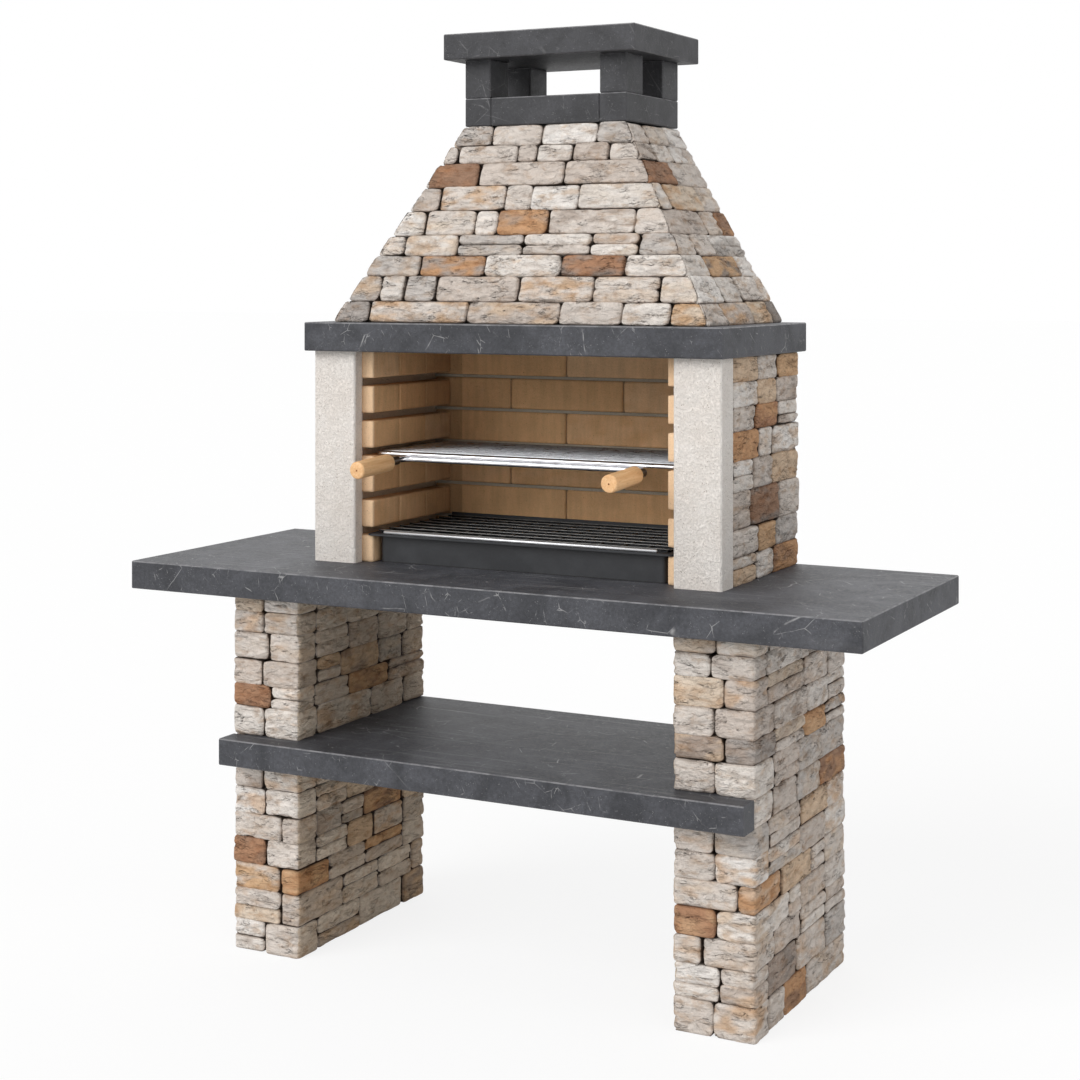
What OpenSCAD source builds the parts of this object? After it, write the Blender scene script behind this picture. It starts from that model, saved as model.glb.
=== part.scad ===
// Masonry barbecue: two stone piers, a shelf, a worktop, a firebrick firebox with a wire grill,
// and a stone-faced hood under an open chimney. Millimetres, +Z up, +X right, +Y back.
// The origin is on the ground, at the middle of the whole object's width and depth.

/* [Worktop] */
// Width of the worktop slab
worktop_w = 1710; // [1500:10:1900]
// Depth of the worktop slab
worktop_d = 645; // [620:5:720]
// Thickness of the worktop slab
worktop_t = 62; // [40:1:80]
// Height of the worktop's top above the ground
worktop_top = 850; // [800:5:950]
// Width cut off the arrises of the cast slabs
slab_arris = 2.5; // [1:0.5:5]

/* [Piers] */
// Width of each pier
pier_w = 174; // [150:1:200]
// Depth of each pier
pier_d = 535; // [480:5:560]
// Clear width between the piers
pier_gap = 888; // [820:2:940]
// Distance from the worktop's front edge to the front of the piers
pier_setback = 60; // [56:1:80]
// Course heights below the shelf, from the ground up, as shares of the height
lower_courses = [68, 69, 55, 57, 55, 56, 57];
// Course heights above the shelf, from the shelf up, as shares of the height
upper_courses = [64, 49, 56, 59, 46, 39];

/* [Shelf] */
// Height of the shelf's top above the ground
shelf_top = 475; // [420:5:560]
// Thickness of the shelf slab
shelf_t = 58; // [40:1:70]
// How far the shelf's front edge stands out in front of the piers
shelf_nose = 56; // [20:1:70]
// How far the front edge's ends stop short of the piers' outer faces
shelf_nose_inset = 2; // [1:1:30]
// Thickness of the stones that cover the shelf's ends in the piers
shelf_cover_t = 30; // [20:1:45]

/* [Stones] */
// Usual length of a stone in the piers
pier_stone_l = 122; // [90:1:180]
// Usual length of a stone on the firebox sides
side_stone_l = 112; // [80:1:160]
// Usual length of a stone on the hood
hood_stone_l = 158; // [100:1:220]
// Thickness of the stones on the firebox sides
side_stone_t = 30; // [20:1:40]
// Thickness of the stones on the hood
hood_stone_t = 34; // [24:1:45]
// Gap between two stones at their closest
stone_joint = 0.5; // [0.3:0.1:0.9]
// Usual width worn off a stone's arrises
stone_wear = 4.5; // [2:0.5:7]
// How far a stone's rough face may fall back from the wall's face
stone_rough = 2; // [1:0.5:6]
// Share of the places in a course that hold two thin stones
thin_share = 0.13; // [0:0.01:0.4]
// How far an upright joint strays from even spacing, as a share of a stone
joint_play = 0.27; // [0:0.01:0.35]
// Number that picks the pattern of the stones
stone_pattern = 7; // [1:1:99]
// Course heights of the firebox sides, from the worktop up, as shares of the height
side_courses = [54, 56, 74, 61, 58, 48, 50, 49];

/* [Firebox] */
// Clear width between the two cream columns
opening_w = 772; // [700:2:800]
// Height of the firebox from the worktop to the lintel
firebox_h = 472; // [420:2:520]
// Width of each cream column
jamb_w = 107; // [95:1:125]
// Depth of each cream column
jamb_d = 64; // [50:1:80]
// Depth of the rebate at the back of each column, where the firebricks meet it
jamb_rebate = 31; // [20:1:36]
// Distance from the worktop's front edge to the columns
jamb_setback = 195; // [180:1:220]
// Width cut off the columns' upright arrises
jamb_arris = 3; // [1:0.5:6]
// Thickness of the cast side panels behind the columns
side_panel_t = 60; // [45:1:60]
// Thickness of the cast back panel
back_panel_t = 40; // [30:1:50]

/* [Firebricks] */
// Clear width between the firebricks of the two sides
brick_gap = 718; // [680:1:740]
// Thickness of the back wall's firebricks
back_brick_t = 30; // [20:1:40]
// Height of the slots between the side courses
slot_h = 18; // [15:0.5:22]
// Course heights of the side firebricks, from the worktop up, as shares of what the slots leave
brick_courses = [60, 60, 81, 60, 60, 61];
// Number of bricks in each side course
side_bricks = 3; // [2:1:4]
// Height of the mortar lines in the back wall
mortar_h = 6; // [3:0.5:8]
// Width of the upright joints between bricks
brick_joint = 1.5; // [0.5:0.5:3]
// Length of a brick in the back wall
back_brick_l = 292; // [150:1:320]
// Length of the first brick in every other course of the back wall
back_brick_first = 206; // [60:1:290]
// Width cut off the bricks' arrises
brick_arris = 1.2; // [0.5:0.1:3]
// How far the mortar lines lie behind the bricks' faces
mortar_recess = 1.5; // [0.5:0.5:4]

/* [Lintel slab] */
// Width of the slab over the firebox
lintel_w = 1011; // [990:1:1100]
// Thickness of the slab over the firebox
lintel_t = 64; // [40:1:80]
// How far the slab stands out in front of the columns
lintel_nose = 24; // [10:1:40]
// How far the slab stands out behind the back panel
lintel_tail = 15; // [0:1:30]
// Distance from the columns' front to the smoke opening in the slab
smoke_setback = 85; // [75:1:110]

/* [Hood] */
// Width of the hood at its foot
hood_w = 917; // [880:1:960]
// Height of the hood
hood_h = 440; // [380:5:500]
// Distance from the slab's front edge to the hood's foot
hood_step = 45; // [30:1:60]
// Thickness of the cast shell under the hood's stones
hood_shell_t = 26; // [20:1:34]
// Course heights of the hood, from its foot up, as shares of the height
hood_courses = [50, 55, 45, 45.5, 54, 54, 52.5, 39, 45];
// Gap between the stones that meet at a hip of the hood
hip_joint = 2; // [1:0.5:5]

/* [Chimney] */
// Width of the chimney
chimney_w = 402; // [360:1:440]
// Depth of the chimney
chimney_d = 279; // [250:1:300]
// Height of the beams on top of the hood
crown_t = 63; // [45:1:80]
// Width of the beams on top of the hood
crown_beam_w = 66; // [50:1:80]
// Width of each chimney post
post_w = 65; // [50:1:80]
// Depth of each chimney post
post_d = 86; // [60:1:95]
// Height of the chimney posts
post_h = 86; // [60:1:120]
// Thickness of the cap slab
cap_t = 58; // [40:1:70]
// How far the cap slab stands out all round
cap_overhang = 36; // [20:1:50]

/* [Cooking grill] */
// Number of the slot that holds the grill, from the bottom
grill_slot = 3; // [2:1:4]
// Diameter of the grill's frame rod
grill_rod_d = 8; // [6:0.5:10]
// Diameter of the grill's wires
grill_wire_d = 3.5; // [2.5:0.5:5]
// Number of wires
grill_wires = 23; // [15:1:27]
// Diameter of the bars under the wires
grill_bar_d = 6; // [5:0.5:7]
// Number of bars under the wires
grill_bars = 4; // [2:1:6]
// Radius of the frame's corners
grill_corner_r = 16; // [10:1:30]
// How far the frame reaches into a slot
grill_bite = 15; // [8:1:25]
// Distance from the firebricks' front to the frame's front rod
grill_setback = 32; // [20:1:60]
// Gap behind the grill's frame
grill_back_gap = 10; // [5:1:30]
// How far a wire or bar sinks into what it is welded to
weld = 0.5; // [0.3:0.1:0.8]
// How far the grill can be drawn out
grill_travel = 400; // [100:10:420]

/* [Handles] */
// Diameter of the bent bar that carries the handles
handle_bar_d = 12; // [8:0.5:14]
// Distance between the two handles
handle_spacing = 600; // [400:5:640]
// Radius of the bar's bends
handle_bend_r = 25; // [20:1:40]
// How far the handles point down, in degrees
handle_tilt = 3; // [0:0.5:6]
// Diameter of the steel collars
ferrule_d = 19; // [16:0.5:24]
// Length of the steel collars
ferrule_l = 37; // [15:1:45]
// Diameter of the wooden handles
handle_d = 38; // [30:1:42]
// Length of the wooden handles
handle_l = 130; // [100:5:180]
// Radius of the handles' rounded ends
handle_round = 5; // [2:0.5:8]
// Depth of the bar's hole in a handle
handle_hole_l = 70; // [40:5:90]
// Clearance round the bar in a collar or handle
handle_fit = 0.2; // [0.1:0.1:0.5]
// Diameter of the pilot hole in a handle's end
pilot_d = 4; // [2:0.5:6]
// Depth of the pilot hole in a handle's end
pilot_l = 12; // [5:1:20]

/* [Ash pan] */
// Thickness of the pan's sheet
pan_t = 2; // [1.5:0.5:4]
// Gap between the pan's side and the firebricks
pan_side_gap = 10; // [6:1:20]
// Distance from the firebricks' front to the pan's front wall
pan_setback = 15; // [5:1:40]
// Gap behind the pan
pan_back_gap = 10; // [5:1:30]
// Radius of the pan's upright corners
pan_corner_r = 10; // [6:1:20]
// Width of the rim along the front
pan_front_rim = 20; // [14:1:26]
// How far the rim reaches into the slots
pan_bite = 13; // [8:1:20]
// Thickness of the folded rim
pan_rim_t = 4; // [3:0.5:6]
// Height of the pan's raised back above its rim
pan_back_rise = 14; // [5:1:17]
// How far the pan can be drawn out
pan_travel = 330; // [100:10:340]

/* [Charcoal grate] */
// Diameter of the grate's front rod
grate_rod_d = 7; // [5:0.5:9]
// Diameter of the grate's wires
grate_wire_d = 5; // [4:0.5:6]
// Number of wires along the width
grate_wires = 13; // [9:1:17]
// Number of bars under the wires, from front to back
grate_bars = 13; // [7:1:17]
// Diameter of the bars
grate_bar_d = 4; // [3:0.5:5]
// How far the wires' ends stop short of the firebricks
grate_side_gap = 3; // [2:0.5:6]
// How far the front rod's ends stop short of the pan's sides
grate_rod_inset = 14; // [5:1:30]
// How far the grate can be lifted
grate_travel = 120; // [50:10:130]

/* [Clearances] */
// Gap under what slides or lifts off
rest_gap = 0.3; // [0.2:0.1:0.5]
// Gap between a facing stone and what it is stuck to
bed_gap = 0.3; // [0.1:0.1:0.5]

/* [Hidden] */
$fn = 48;
// How far cutting shapes stand past what they cut
cut_past = 1;
// Smallest and largest share of a place's height that the lower of two thin stones takes
thin_split = [0.42, 0.58];
// Smallest and largest share of their usual width that worn arrises take
wear_range = [0.6, 1.4];
// Steps between the random seeds of the courses, of the stones in one, and of the rows in one
course_seeds = 1000;
stone_seeds = 100;
row_seeds = 30;
// Lengths of the stones in each course, from the bottom course up, and from the left end or from the
// front. A place that holds two thin stones has a negative length. Each course is fitted to its wall.
hood_front_stones = [
    [90, 252, 225, 148, 109, 94], [80, 64, 81, 205, 179, -154, 96], [141, 164, 186, 152, 151],
    [65, 136, -163, -164, -113, 100], [82, 128, 57, 123, 209, 90], [77, 166, 67, 114, 201],
    [136, 212, 213], [44, 151, 47, 89, 88, 81], [101, 124, 136, 94]
];
hood_side_stone_list = [
    [116, 151, 113, 49], [146, 108, 123, 35], [129, 184, 81], [103, 99, -176], [213, 85, 64],
    [68, 175, 102], [157, 169], [90, 93, 77, 47], [93, 104, 97]
];
lower_left_stones = [
    [80, -172, 184, 98], [181, -149, -148, 57], [124, -150, -163, 98], [76, -126, 106, 129, 98],
    [76, 101, -92, 167, 98], [72, -130, 124, -111, 98], [76, 126, 128, 107, 98]
];
lower_right_stones = [
    [80, 84, 135, 236], [-75, 164, 171, 125], [113, 149, -147, -125], [193, -70, 147, 125],
    [147, 176, -87, 125], [80, -183, 147, 125], [80, -183, 160, 112]
];
upper_left_stones = [
    [76, 223, 146, 89], [-68, -138, 168, -161], [80, -93, 161, 103, 98], [72, -134, 124, 125, 80],
    [72, 126, 132, 125, 80], [72, 130, 154, 179]
];
upper_right_stones = [
    [108, -143, 284], [113, -173, 123, -125], [113, 185, 124, -112], [75, -206, 142, 112],
    [69, 199, 154, 112], [80, 165, -165, 125]
];
// Widths of the inner stone at the front of each pier course, for a pier 174 wide. The other row's front
// place holds two thin stones where the width is negative.
front_width = 174;
lower_left_inner = [-91, -49, 51, 88, 46, 91, 94];
lower_right_inner = [86, -99, 63, 92, 136, 88, 88];
upper_left_inner = [94, 75, 96, 80, 94, 94];
upper_right_inner = [88, 107, 88, 107, 80, 90];
// Width of the seams between the pan's four folded sides
pan_seam = 0.3;

front_y = -(worktop_d + cap_overhang) / 2;
back_y = front_y + worktop_d;

pier_in = pier_gap / 2;
pier_out = pier_in + pier_w;
pier_front = front_y + pier_setback;
pier_back = pier_front + pier_d;
shelf_bottom = shelf_top - shelf_t;
worktop_bottom = worktop_top - worktop_t;

jamb_in = opening_w / 2;
jamb_out = jamb_in + jamb_w;
jamb_front = front_y + jamb_setback;
jamb_back = jamb_front + jamb_d;
brick_in = brick_gap / 2;
panel_out = jamb_out - side_stone_t;
panel_in = panel_out - side_panel_t;
brick_t = panel_in - brick_in;
brick_front = jamb_back - jamb_rebate;
brick_back = back_y - back_panel_t - back_brick_t;

lintel_z = worktop_top + firebox_h;
lintel_front = jamb_front - lintel_nose;
lintel_back = back_y + lintel_tail;

hood_z = lintel_z + lintel_t;
hood_half = hood_w / 2;
hood_front = lintel_front + hood_step;
chimney_half = chimney_w / 2;
chimney_front = back_y - chimney_d;
chimney_z = hood_z + hood_h;
post_z = chimney_z + crown_t;
cap_z = post_z + post_h;
front_run = chimney_front - hood_front;
side_run = hood_half - chimney_half;
front_lean = atan2(front_run, hood_h);
side_lean = atan2(side_run, hood_h);
hip_turn = atan2(front_run, -side_run);
facing_t = hood_stone_t + bed_gap;

brick_levels = slotted_levels(brick_courses, firebox_h, slot_h);
slot_z = worktop_top + brick_levels[grill_slot - 1][1];
grill_z = slot_z + rest_gap + grill_rod_d / 2;
grill_half = brick_in + grill_bite - grill_rod_d / 2;
grill_front = brick_front + grill_setback;
grill_back = brick_back - grill_back_gap - grill_rod_d / 2;
grill_wire_z = grill_z + grill_rod_d / 2 + grill_wire_d / 2 - weld;
handle_bar_z = grill_z - grill_rod_d / 2 - handle_bar_d / 2 - bed_gap;

pan_half = brick_in - pan_side_gap;
pan_front = brick_front + pan_setback;
pan_back = brick_back - pan_back_gap;
pan_z = worktop_top + rest_gap;
rim_z = worktop_top + brick_levels[0][1] + rest_gap;
rim_top = rim_z + pan_rim_t;
rim_half = brick_in + pan_bite;
grate_bar_z = rim_top + rest_gap + grate_bar_d / 2;
grate_wire_z = grate_bar_z + grate_bar_d / 2 + grate_wire_d / 2 - weld;
grate_rod_z = rim_top + rest_gap + grate_rod_d / 2;
grate_front = pan_front - pan_front_rim / 2;
grate_back = pan_back - pan_t - grate_wire_d;

// Sum of the first n values of a list
function total(list, n) = n <= 0 ? 0 : list[n - 1] + total(list, n - 1);

// Heights where the courses of a wall meet, from 0 to the wall's height
function levels(shares, height) =
    let (all = total(shares, len(shares)))
    [for (i = [0 : len(shares)]) height * total(shares, i) / all];

// Bottom and top of each course of a wall with open slots between its courses
function slotted_levels(shares, height, slot) =
    let (
        n = len(shares),
        bricks = levels(shares, height - slot * (n - 1))
    )
    [for (i = [0 : n - 1]) [bricks[i] + slot * i, bricks[i + 1] + slot * i]];

// Places of the upright joints in a course, from 0 to its length
function joints_in(length, stone, play, seed) =
    let (
        n = max(1, round(length / stone)),
        stray = rands(-play, play, n + 1, seed)
    )
    [for (i = [0 : n]) length * (i + (i == 0 || i == n ? 0 : stray[i])) / n];

// Rectangle with its four corners cut off evenly, and its sides moved out by past with the cuts kept
function eased(a, b, cut, past = 0) =
    let (c = cut + past)
    [
        [c, -past], [a - c, -past], [a + past, c], [a + past, b - c],
        [a - c, b + past], [c, b + past], [-past, b - c], [-past, c]
    ];

// Widths worn off the corners of one outline of a stone, two for each corner and none over the most
function wear(most, seed) =
    [for (w = rands(wear_range[0] * stone_wear, wear_range[1] * stone_wear, 8, seed)) min(w, most)];

// Outline of a stone from above: sides that fall back from the rectangle, and worn corners
function rough_plan(a, b, seed) =
    let (
        most = min(a, b) / 5,
        c = wear(most, seed),
        r = [for (fall = rands(0, stone_rough, 8, seed + 1)) min(fall, most)]
    )
    [
        [r[7] + c[0], r[0]], [a - r[2] - c[1], r[1]],
        [a - r[2], r[1] + c[2]], [a - r[3], b - r[4] - c[3]],
        [a - r[3] - c[4], b - r[4]], [r[6] + c[5], b - r[5]],
        [r[6], b - r[5] - c[6]], [r[7], r[0] + c[7]]
    ];

// Rectangle with worn corners, and its sides moved out by past with the cuts kept
function worn(a, b, past, seed) =
    let (
        c = wear(min(a, b) / 3, seed),
        out = [for (i = [0 : 7]) c[i] * (1 + past / c[7 - i])]
    )
    [
        [out[0], -past], [a - out[1], -past], [a + past, out[6]], [a + past, b - out[5]],
        [a - out[2], b + past], [out[3], b + past], [-past, b - out[4]], [-past, out[7]]
    ];

// Outline, listed anticlockwise, with each outward corner cut back by the same length along both sides
function arrised(points, cut) =
    let (n = len(points))
    [for (i = [0 : n - 1])
        let (
            here = points[i],
            before = points[(i + n - 1) % n] - here,
            after = points[(i + 1) % n] - here
        )
        if (cross(before, after) > 0)
            here
        else
            each [here + cut * before / norm(before), here + cut * after / norm(after)]];

// Block with its outline from above, whose upper and lower arrises are cut by outlines from the front
// and the side that stand past it by cut_past
module cut_block(size, plan, front, side) {
    intersection() {
        linear_extrude(size.z) polygon(plan);
        translate([0, size.y + cut_past, 0]) rotate([90, 0, 0])
            linear_extrude(size.y + 2 * cut_past) polygon(front);
        translate([-cut_past, 0, 0]) rotate([90, 0, 90])
            linear_extrude(size.x + 2 * cut_past) polygon(side);
    }
}

// Cast block with eased arrises, its low corner at the origin
module eased_block(size, cut) {
    cut_block(
        size,
        eased(size.x, size.y, cut),
        eased(size.x, size.z, cut, cut_past),
        eased(size.y, size.z, cut, cut_past)
    );
}

// One tumbled stone, its low corner at the origin
module stone(size, seed) {
    cut_block(
        size,
        rough_plan(size.x, size.y, seed),
        worn(size.x, size.z, cut_past, seed + 2),
        worn(size.y, size.z, cut_past, seed + 4)
    );
}

// One random number in a range
function pick(range, seed) = rands(range[0], range[1], 1, seed)[0];

// Random seed of a wall's stones, which changes with the pattern number
function wall_seed(wall) = stone_pattern * 10 * course_seeds + wall;

// Places of a course: where each starts, how long it is, and whether it holds two thin stones
function places(length, stone, seed, listed = []) =
    len(listed) > 0
    ? let (sizes = [for (size = listed) abs(size)], fitted = length / total(sizes, len(sizes)))
      [for (i = [0 : len(listed) - 1]) [fitted * total(sizes, i), fitted * sizes[i], listed[i] < 0]]
    : let (joints = joints_in(length, stone, joint_play, seed))
      [for (i = [0 : len(joints) - 2])
          [joints[i], joints[i + 1] - joints[i], pick([0, 1], seed + 6 + stone_seeds * i) < thin_share]];

// What fills one place of a course: a stone, or two thin ones
module laid(at, size, seed, thin = false) {
    split = size.z * pick(thin_split, seed + 5);
    inner = size - [stone_joint, stone_joint, stone_joint];
    translate(at + [stone_joint / 2, stone_joint / 2, 0]) {
        if (thin) {
            stone([inner.x, inner.y, split - stone_joint], seed);
            translate([0, 0, split]) stone([inner.x, inner.y, size.z - split - stone_joint], seed + 7);
        } else {
            stone(inner, seed);
        }
    }
}

// One course of a pier: two rows of stones side by side, of which the seen row's lengths are listed
module pier_course(height, seed, inner, seen, listed) {
    w = pier_w + stone_joint;
    d = pier_d + stone_joint;
    middle = w * abs(inner) / front_width;
    translate([-stone_joint / 2, -stone_joint / 2, 0])
        for (row = [0, 1]) {
            x = row == 0 ? 0 : middle;
            row_w = row == 0 ? middle : w - middle;
            row_seed = seed + row_seeds * (row + 1);
            laid_out = places(d, pier_stone_l, row_seed, row == seen ? listed : []);
            for (i = [0 : len(laid_out) - 1]) {
                place = laid_out[i];
                thin = row != seen && i == 0 ? inner < 0 : place[2];
                laid([x, place[0], 0], [row_w, place[1], height], row_seed + stone_seeds * i, thin);
            }
        }
}

// Stones of a pier between two heights, at its place on the right
module pier_stones(courses, bottom, top, wall, inner, seen, listed) {
    z = levels(courses, top - bottom);
    for (i = [0 : len(courses) - 1])
        translate([pier_in, pier_front, bottom + z[i]])
            pier_course(z[i + 1] - z[i], wall_seed(wall) + course_seeds * i, inner[i], seen, listed[i]);
}

// Facing of stones: courses between the levels, each from its start to its end, with faces at y = 0
module facing(z, starts, ends, thickness, stone_l, wall, listed = []) {
    for (i = [0 : len(z) - 2]) {
        seed = wall_seed(wall) + course_seeds * i;
        length = ends[i] - starts[i] + stone_joint;
        laid_out = places(length, stone_l, seed, len(listed) > i ? listed[i] : []);
        for (k = [0 : len(laid_out) - 1])
            laid(
                [starts[i] + laid_out[k][0] - stone_joint / 2, -stone_joint / 2, z[i]],
                [laid_out[k][1], thickness + stone_joint, z[i + 1] - z[i]],
                seed + stone_seeds * k + row_seeds,
                laid_out[k][2]
            );
    }
}

// Turns a facing made at y = 0 so that it faces right, at distance x from the middle
module facing_right(x, z) {
    translate([x, 0, z]) rotate([0, 0, 90]) children();
}

module worktop() {
    color("#3d4045") translate([-worktop_w / 2, front_y, worktop_bottom])
        eased_block([worktop_w, worktop_d, worktop_t], slab_arris);
}

module shelf_slab() {
    nose_half = pier_out - shelf_nose_inset;
    tail_half = pier_out - shelf_cover_t - bed_gap;
    nose_front = pier_front - shelf_nose;
    plan = [
        [-nose_half, nose_front], [nose_half, nose_front],
        [nose_half, pier_front - bed_gap], [tail_half, pier_front - bed_gap],
        [tail_half, pier_back], [-tail_half, pier_back],
        [-tail_half, pier_front - bed_gap], [-nose_half, pier_front - bed_gap]
    ];
    depth = pier_back - nose_front;
    color("#3d4045") intersection() {
        translate([0, 0, shelf_bottom]) linear_extrude(shelf_t) polygon(plan);
        translate([-pier_out, nose_front, shelf_bottom]) rotate([90, 0, 90])
            linear_extrude(2 * pier_out) polygon(eased(depth, shelf_t, slab_arris, cut_past));
    }
}

module pier_lower_right() {
    color("#cbbfb0") pier_stones(
        lower_courses, 0, shelf_bottom, 1, lower_right_inner, 1, lower_right_stones);
}

module pier_lower_left() {
    color("#cbbfb0") mirror([1, 0, 0]) pier_stones(
        lower_courses, 0, shelf_bottom, 211, lower_left_inner, 0, lower_left_stones);
}

module pier_upper_right() {
    color("#c9bcab") pier_stones(
        upper_courses, shelf_top, worktop_bottom, 431, upper_right_inner, 1, upper_right_stones);
}

module pier_upper_left() {
    color("#c9bcab") mirror([1, 0, 0]) pier_stones(
        upper_courses, shelf_top, worktop_bottom, 653, upper_left_inner, 0, upper_left_stones);
}

// Thin stones that cover one end of the shelf in the pier's outer face
module shelf_cover(wall) {
    facing_right(pier_out, shelf_bottom)
        facing([0, shelf_t], [pier_front], [pier_back], shelf_cover_t, pier_stone_l, wall);
}

module shelf_cover_right() {
    color("#cbbfb0") shelf_cover(877);
}

module shelf_cover_left() {
    color("#cbbfb0") mirror([1, 0, 0]) shelf_cover(1093);
}

module jamb_right() {
    plan = [
        [jamb_in, jamb_front], [jamb_out, jamb_front], [jamb_out, jamb_back],
        [panel_in, jamb_back], [panel_in, brick_front], [jamb_in, brick_front]
    ];
    color("#d9d2c6") translate([0, 0, worktop_top])
        linear_extrude(firebox_h) polygon(arrised(plan, jamb_arris));
}

module jamb_left() {
    mirror([1, 0, 0]) jamb_right();
}

module side_panel_right() {
    color("#8d8a84") translate([panel_in, jamb_back, worktop_top])
        cube([side_panel_t, back_y - jamb_back, firebox_h]);
}

module side_panel_left() {
    mirror([1, 0, 0]) side_panel_right();
}

// Stones on the outside of one side of the firebox
module side_stones(wall) {
    facing_right(jamb_out, worktop_top) facing(
        levels(side_courses, firebox_h),
        [for (i = side_courses) jamb_back],
        [for (i = side_courses) back_y],
        side_stone_t - bed_gap,
        side_stone_l,
        wall
    );
}

module side_stones_right() {
    color("#cdc0af") side_stones(1301);
}

module side_stones_left() {
    color("#cdc0af") mirror([1, 0, 0]) side_stones(1511);
}

module back_panel() {
    color("#8d8a84") translate([-panel_in, back_y - back_panel_t, worktop_top])
        cube([2 * panel_in, back_panel_t, firebox_h]);
}

// Firebricks of one side, in courses with an open slot above each
module firebricks_right() {
    length = (brick_back - bed_gap - brick_front + brick_joint) / side_bricks;
    color("#c79a62") for (course = brick_levels)
        for (i = [0 : side_bricks - 1])
            translate([brick_in, brick_front + length * i, worktop_top + course[0]])
                eased_block([brick_t, length - brick_joint, course[1] - course[0]], brick_arris);
}

module firebricks_left() {
    mirror([1, 0, 0]) firebricks_right();
}

// Heights of the middles of the back wall's mortar lines, level with the slots
function mortar_lines() = [for (i = [1 : len(brick_levels) - 1]) brick_levels[i][0] - slot_h / 2];

// Firebricks of the back wall, in courses that break joint
module firebricks_back() {
    lines = mortar_lines();
    n = len(lines);
    width = 2 * panel_in;
    color("#b98c57") for (i = [0 : n]) {
        low = i == 0 ? 0 : lines[i - 1] + mortar_h / 2;
        high = i == n ? firebox_h : lines[i] - mortar_h / 2;
        first = back_brick_first + (i % 2 == 0 ? 0 : back_brick_l / 2);
        ends = [0, for (x = [first : back_brick_l : width - back_brick_t]) x, width];
        for (k = [1 : len(ends) - 1]) {
            length = ends[k] - ends[k - 1] - brick_joint;
            translate([ends[k - 1] - panel_in + brick_joint / 2, brick_back, worktop_top + low])
                eased_block([length, back_brick_t, high - low], brick_arris);
        }
    }
}

module back_mortar() {
    color("#a9a49b") for (line = mortar_lines())
        translate([-panel_in, brick_back + mortar_recess, worktop_top + line - mortar_h / 2])
            cube([2 * panel_in, back_brick_t - mortar_recess, mortar_h]);
}

module lintel_slab() {
    smoke_front = jamb_front + smoke_setback;
    color("#3d4045") difference() {
        translate([-lintel_w / 2, lintel_front, lintel_z])
            eased_block([lintel_w, lintel_back - lintel_front, lintel_t], slab_arris);
        translate([-brick_in, smoke_front, lintel_z - cut_past])
            cube([brick_gap, brick_back - smoke_front, lintel_t + 2 * cut_past]);
    }
}

// Tapered block inside the hood's outer faces by the side, front and back insets, between two heights
module hood_body(side, front, back, low, high) {
    function half_at(z) = hood_half - side - side_run * z / hood_h;
    function front_at(z) = hood_front + front + front_run * z / hood_h;
    under = low - cut_past;
    over = high + cut_past;
    from_front = [[-half_at(low), low], [half_at(low), low], [half_at(high), high], [-half_at(high), high]];
    from_side = [[front_at(under), under], [2 * back_y, under], [2 * back_y, over], [front_at(over), over]];
    intersection() {
        translate([0, back_y - back, hood_z]) rotate([90, 0, 0])
            linear_extrude(2 * worktop_d) polygon(from_front);
        translate([-hood_w, 0, hood_z]) rotate([90, 0, 90])
            linear_extrude(2 * hood_w) polygon(from_side);
    }
}

module hood_shell() {
    outer_side = facing_t / cos(side_lean);
    outer_front = facing_t / cos(front_lean);
    inner_side = (facing_t + hood_shell_t) / cos(side_lean);
    inner_front = (facing_t + hood_shell_t) / cos(front_lean);
    color("#8d8a84") difference() {
        hood_body(outer_side, outer_front, 0, 0, hood_h);
        hood_body(inner_side, inner_front, hood_shell_t, -cut_past, hood_h + cut_past);
    }
}

// Space beyond the upright plane through the right hip: keep is 1 for the front's stones and -1 for
// the side's
module past_hip(keep) {
    reach = 2 * hood_w;
    translate([hood_half, hood_front, hood_z - cut_past]) rotate([0, 0, hip_turn])
        translate([-reach / 2, keep > 0 ? hip_joint / 2 - reach : -hip_joint / 2, 0])
            cube([reach, reach, hood_h + 2 * cut_past]);
}

// Heights of the hood's courses, measured from its foot
function hood_levels() = levels(hood_courses, hood_h);

// Space between the hood's top and bottom planes, which trims the leaning stones
module hood_slice() {
    translate([-hood_w, hood_front - hood_w / 2, hood_z]) cube([2 * hood_w, 2 * hood_w, hood_h]);
}

module hood_stones_front() {
    z = hood_levels();
    half = [for (i = [0 : len(hood_courses) - 1]) hood_half - side_run * z[i] / hood_h];
    color("#cdc0af") difference() {
        intersection() {
            translate([0, hood_front, hood_z]) rotate([-front_lean, 0, 0]) facing(
                z / cos(front_lean),
                -half,
                half,
                hood_stone_t,
                hood_stone_l,
                1733,
                hood_front_stones
            );
            hood_slice();
        }
        past_hip(1);
        mirror([1, 0, 0]) past_hip(1);
    }
}

// Stones on the hood's right side
module hood_side_stones(wall) {
    z = hood_levels();
    starts = [for (i = [0 : len(hood_courses) - 1]) hood_front + front_run * z[i] / hood_h];
    difference() {
        intersection() {
            facing_right(hood_half, hood_z) rotate([-side_lean, 0, 0]) facing(
                z / cos(side_lean),
                starts,
                [for (i = hood_courses) back_y],
                hood_stone_t,
                hood_stone_l,
                wall,
                hood_side_stone_list
            );
            hood_slice();
        }
        past_hip(-1);
    }
}

module hood_stones_right() {
    color("#cdc0af") hood_side_stones(1949);
}

module hood_stones_left() {
    color("#cdc0af") mirror([1, 0, 0]) hood_side_stones(2161);
}

module crown_beam_right() {
    color("#3d4045") translate([chimney_half - crown_beam_w, chimney_front, chimney_z])
        eased_block([crown_beam_w, chimney_d, crown_t], slab_arris);
}

module crown_beam_left() {
    mirror([1, 0, 0]) crown_beam_right();
}

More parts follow.
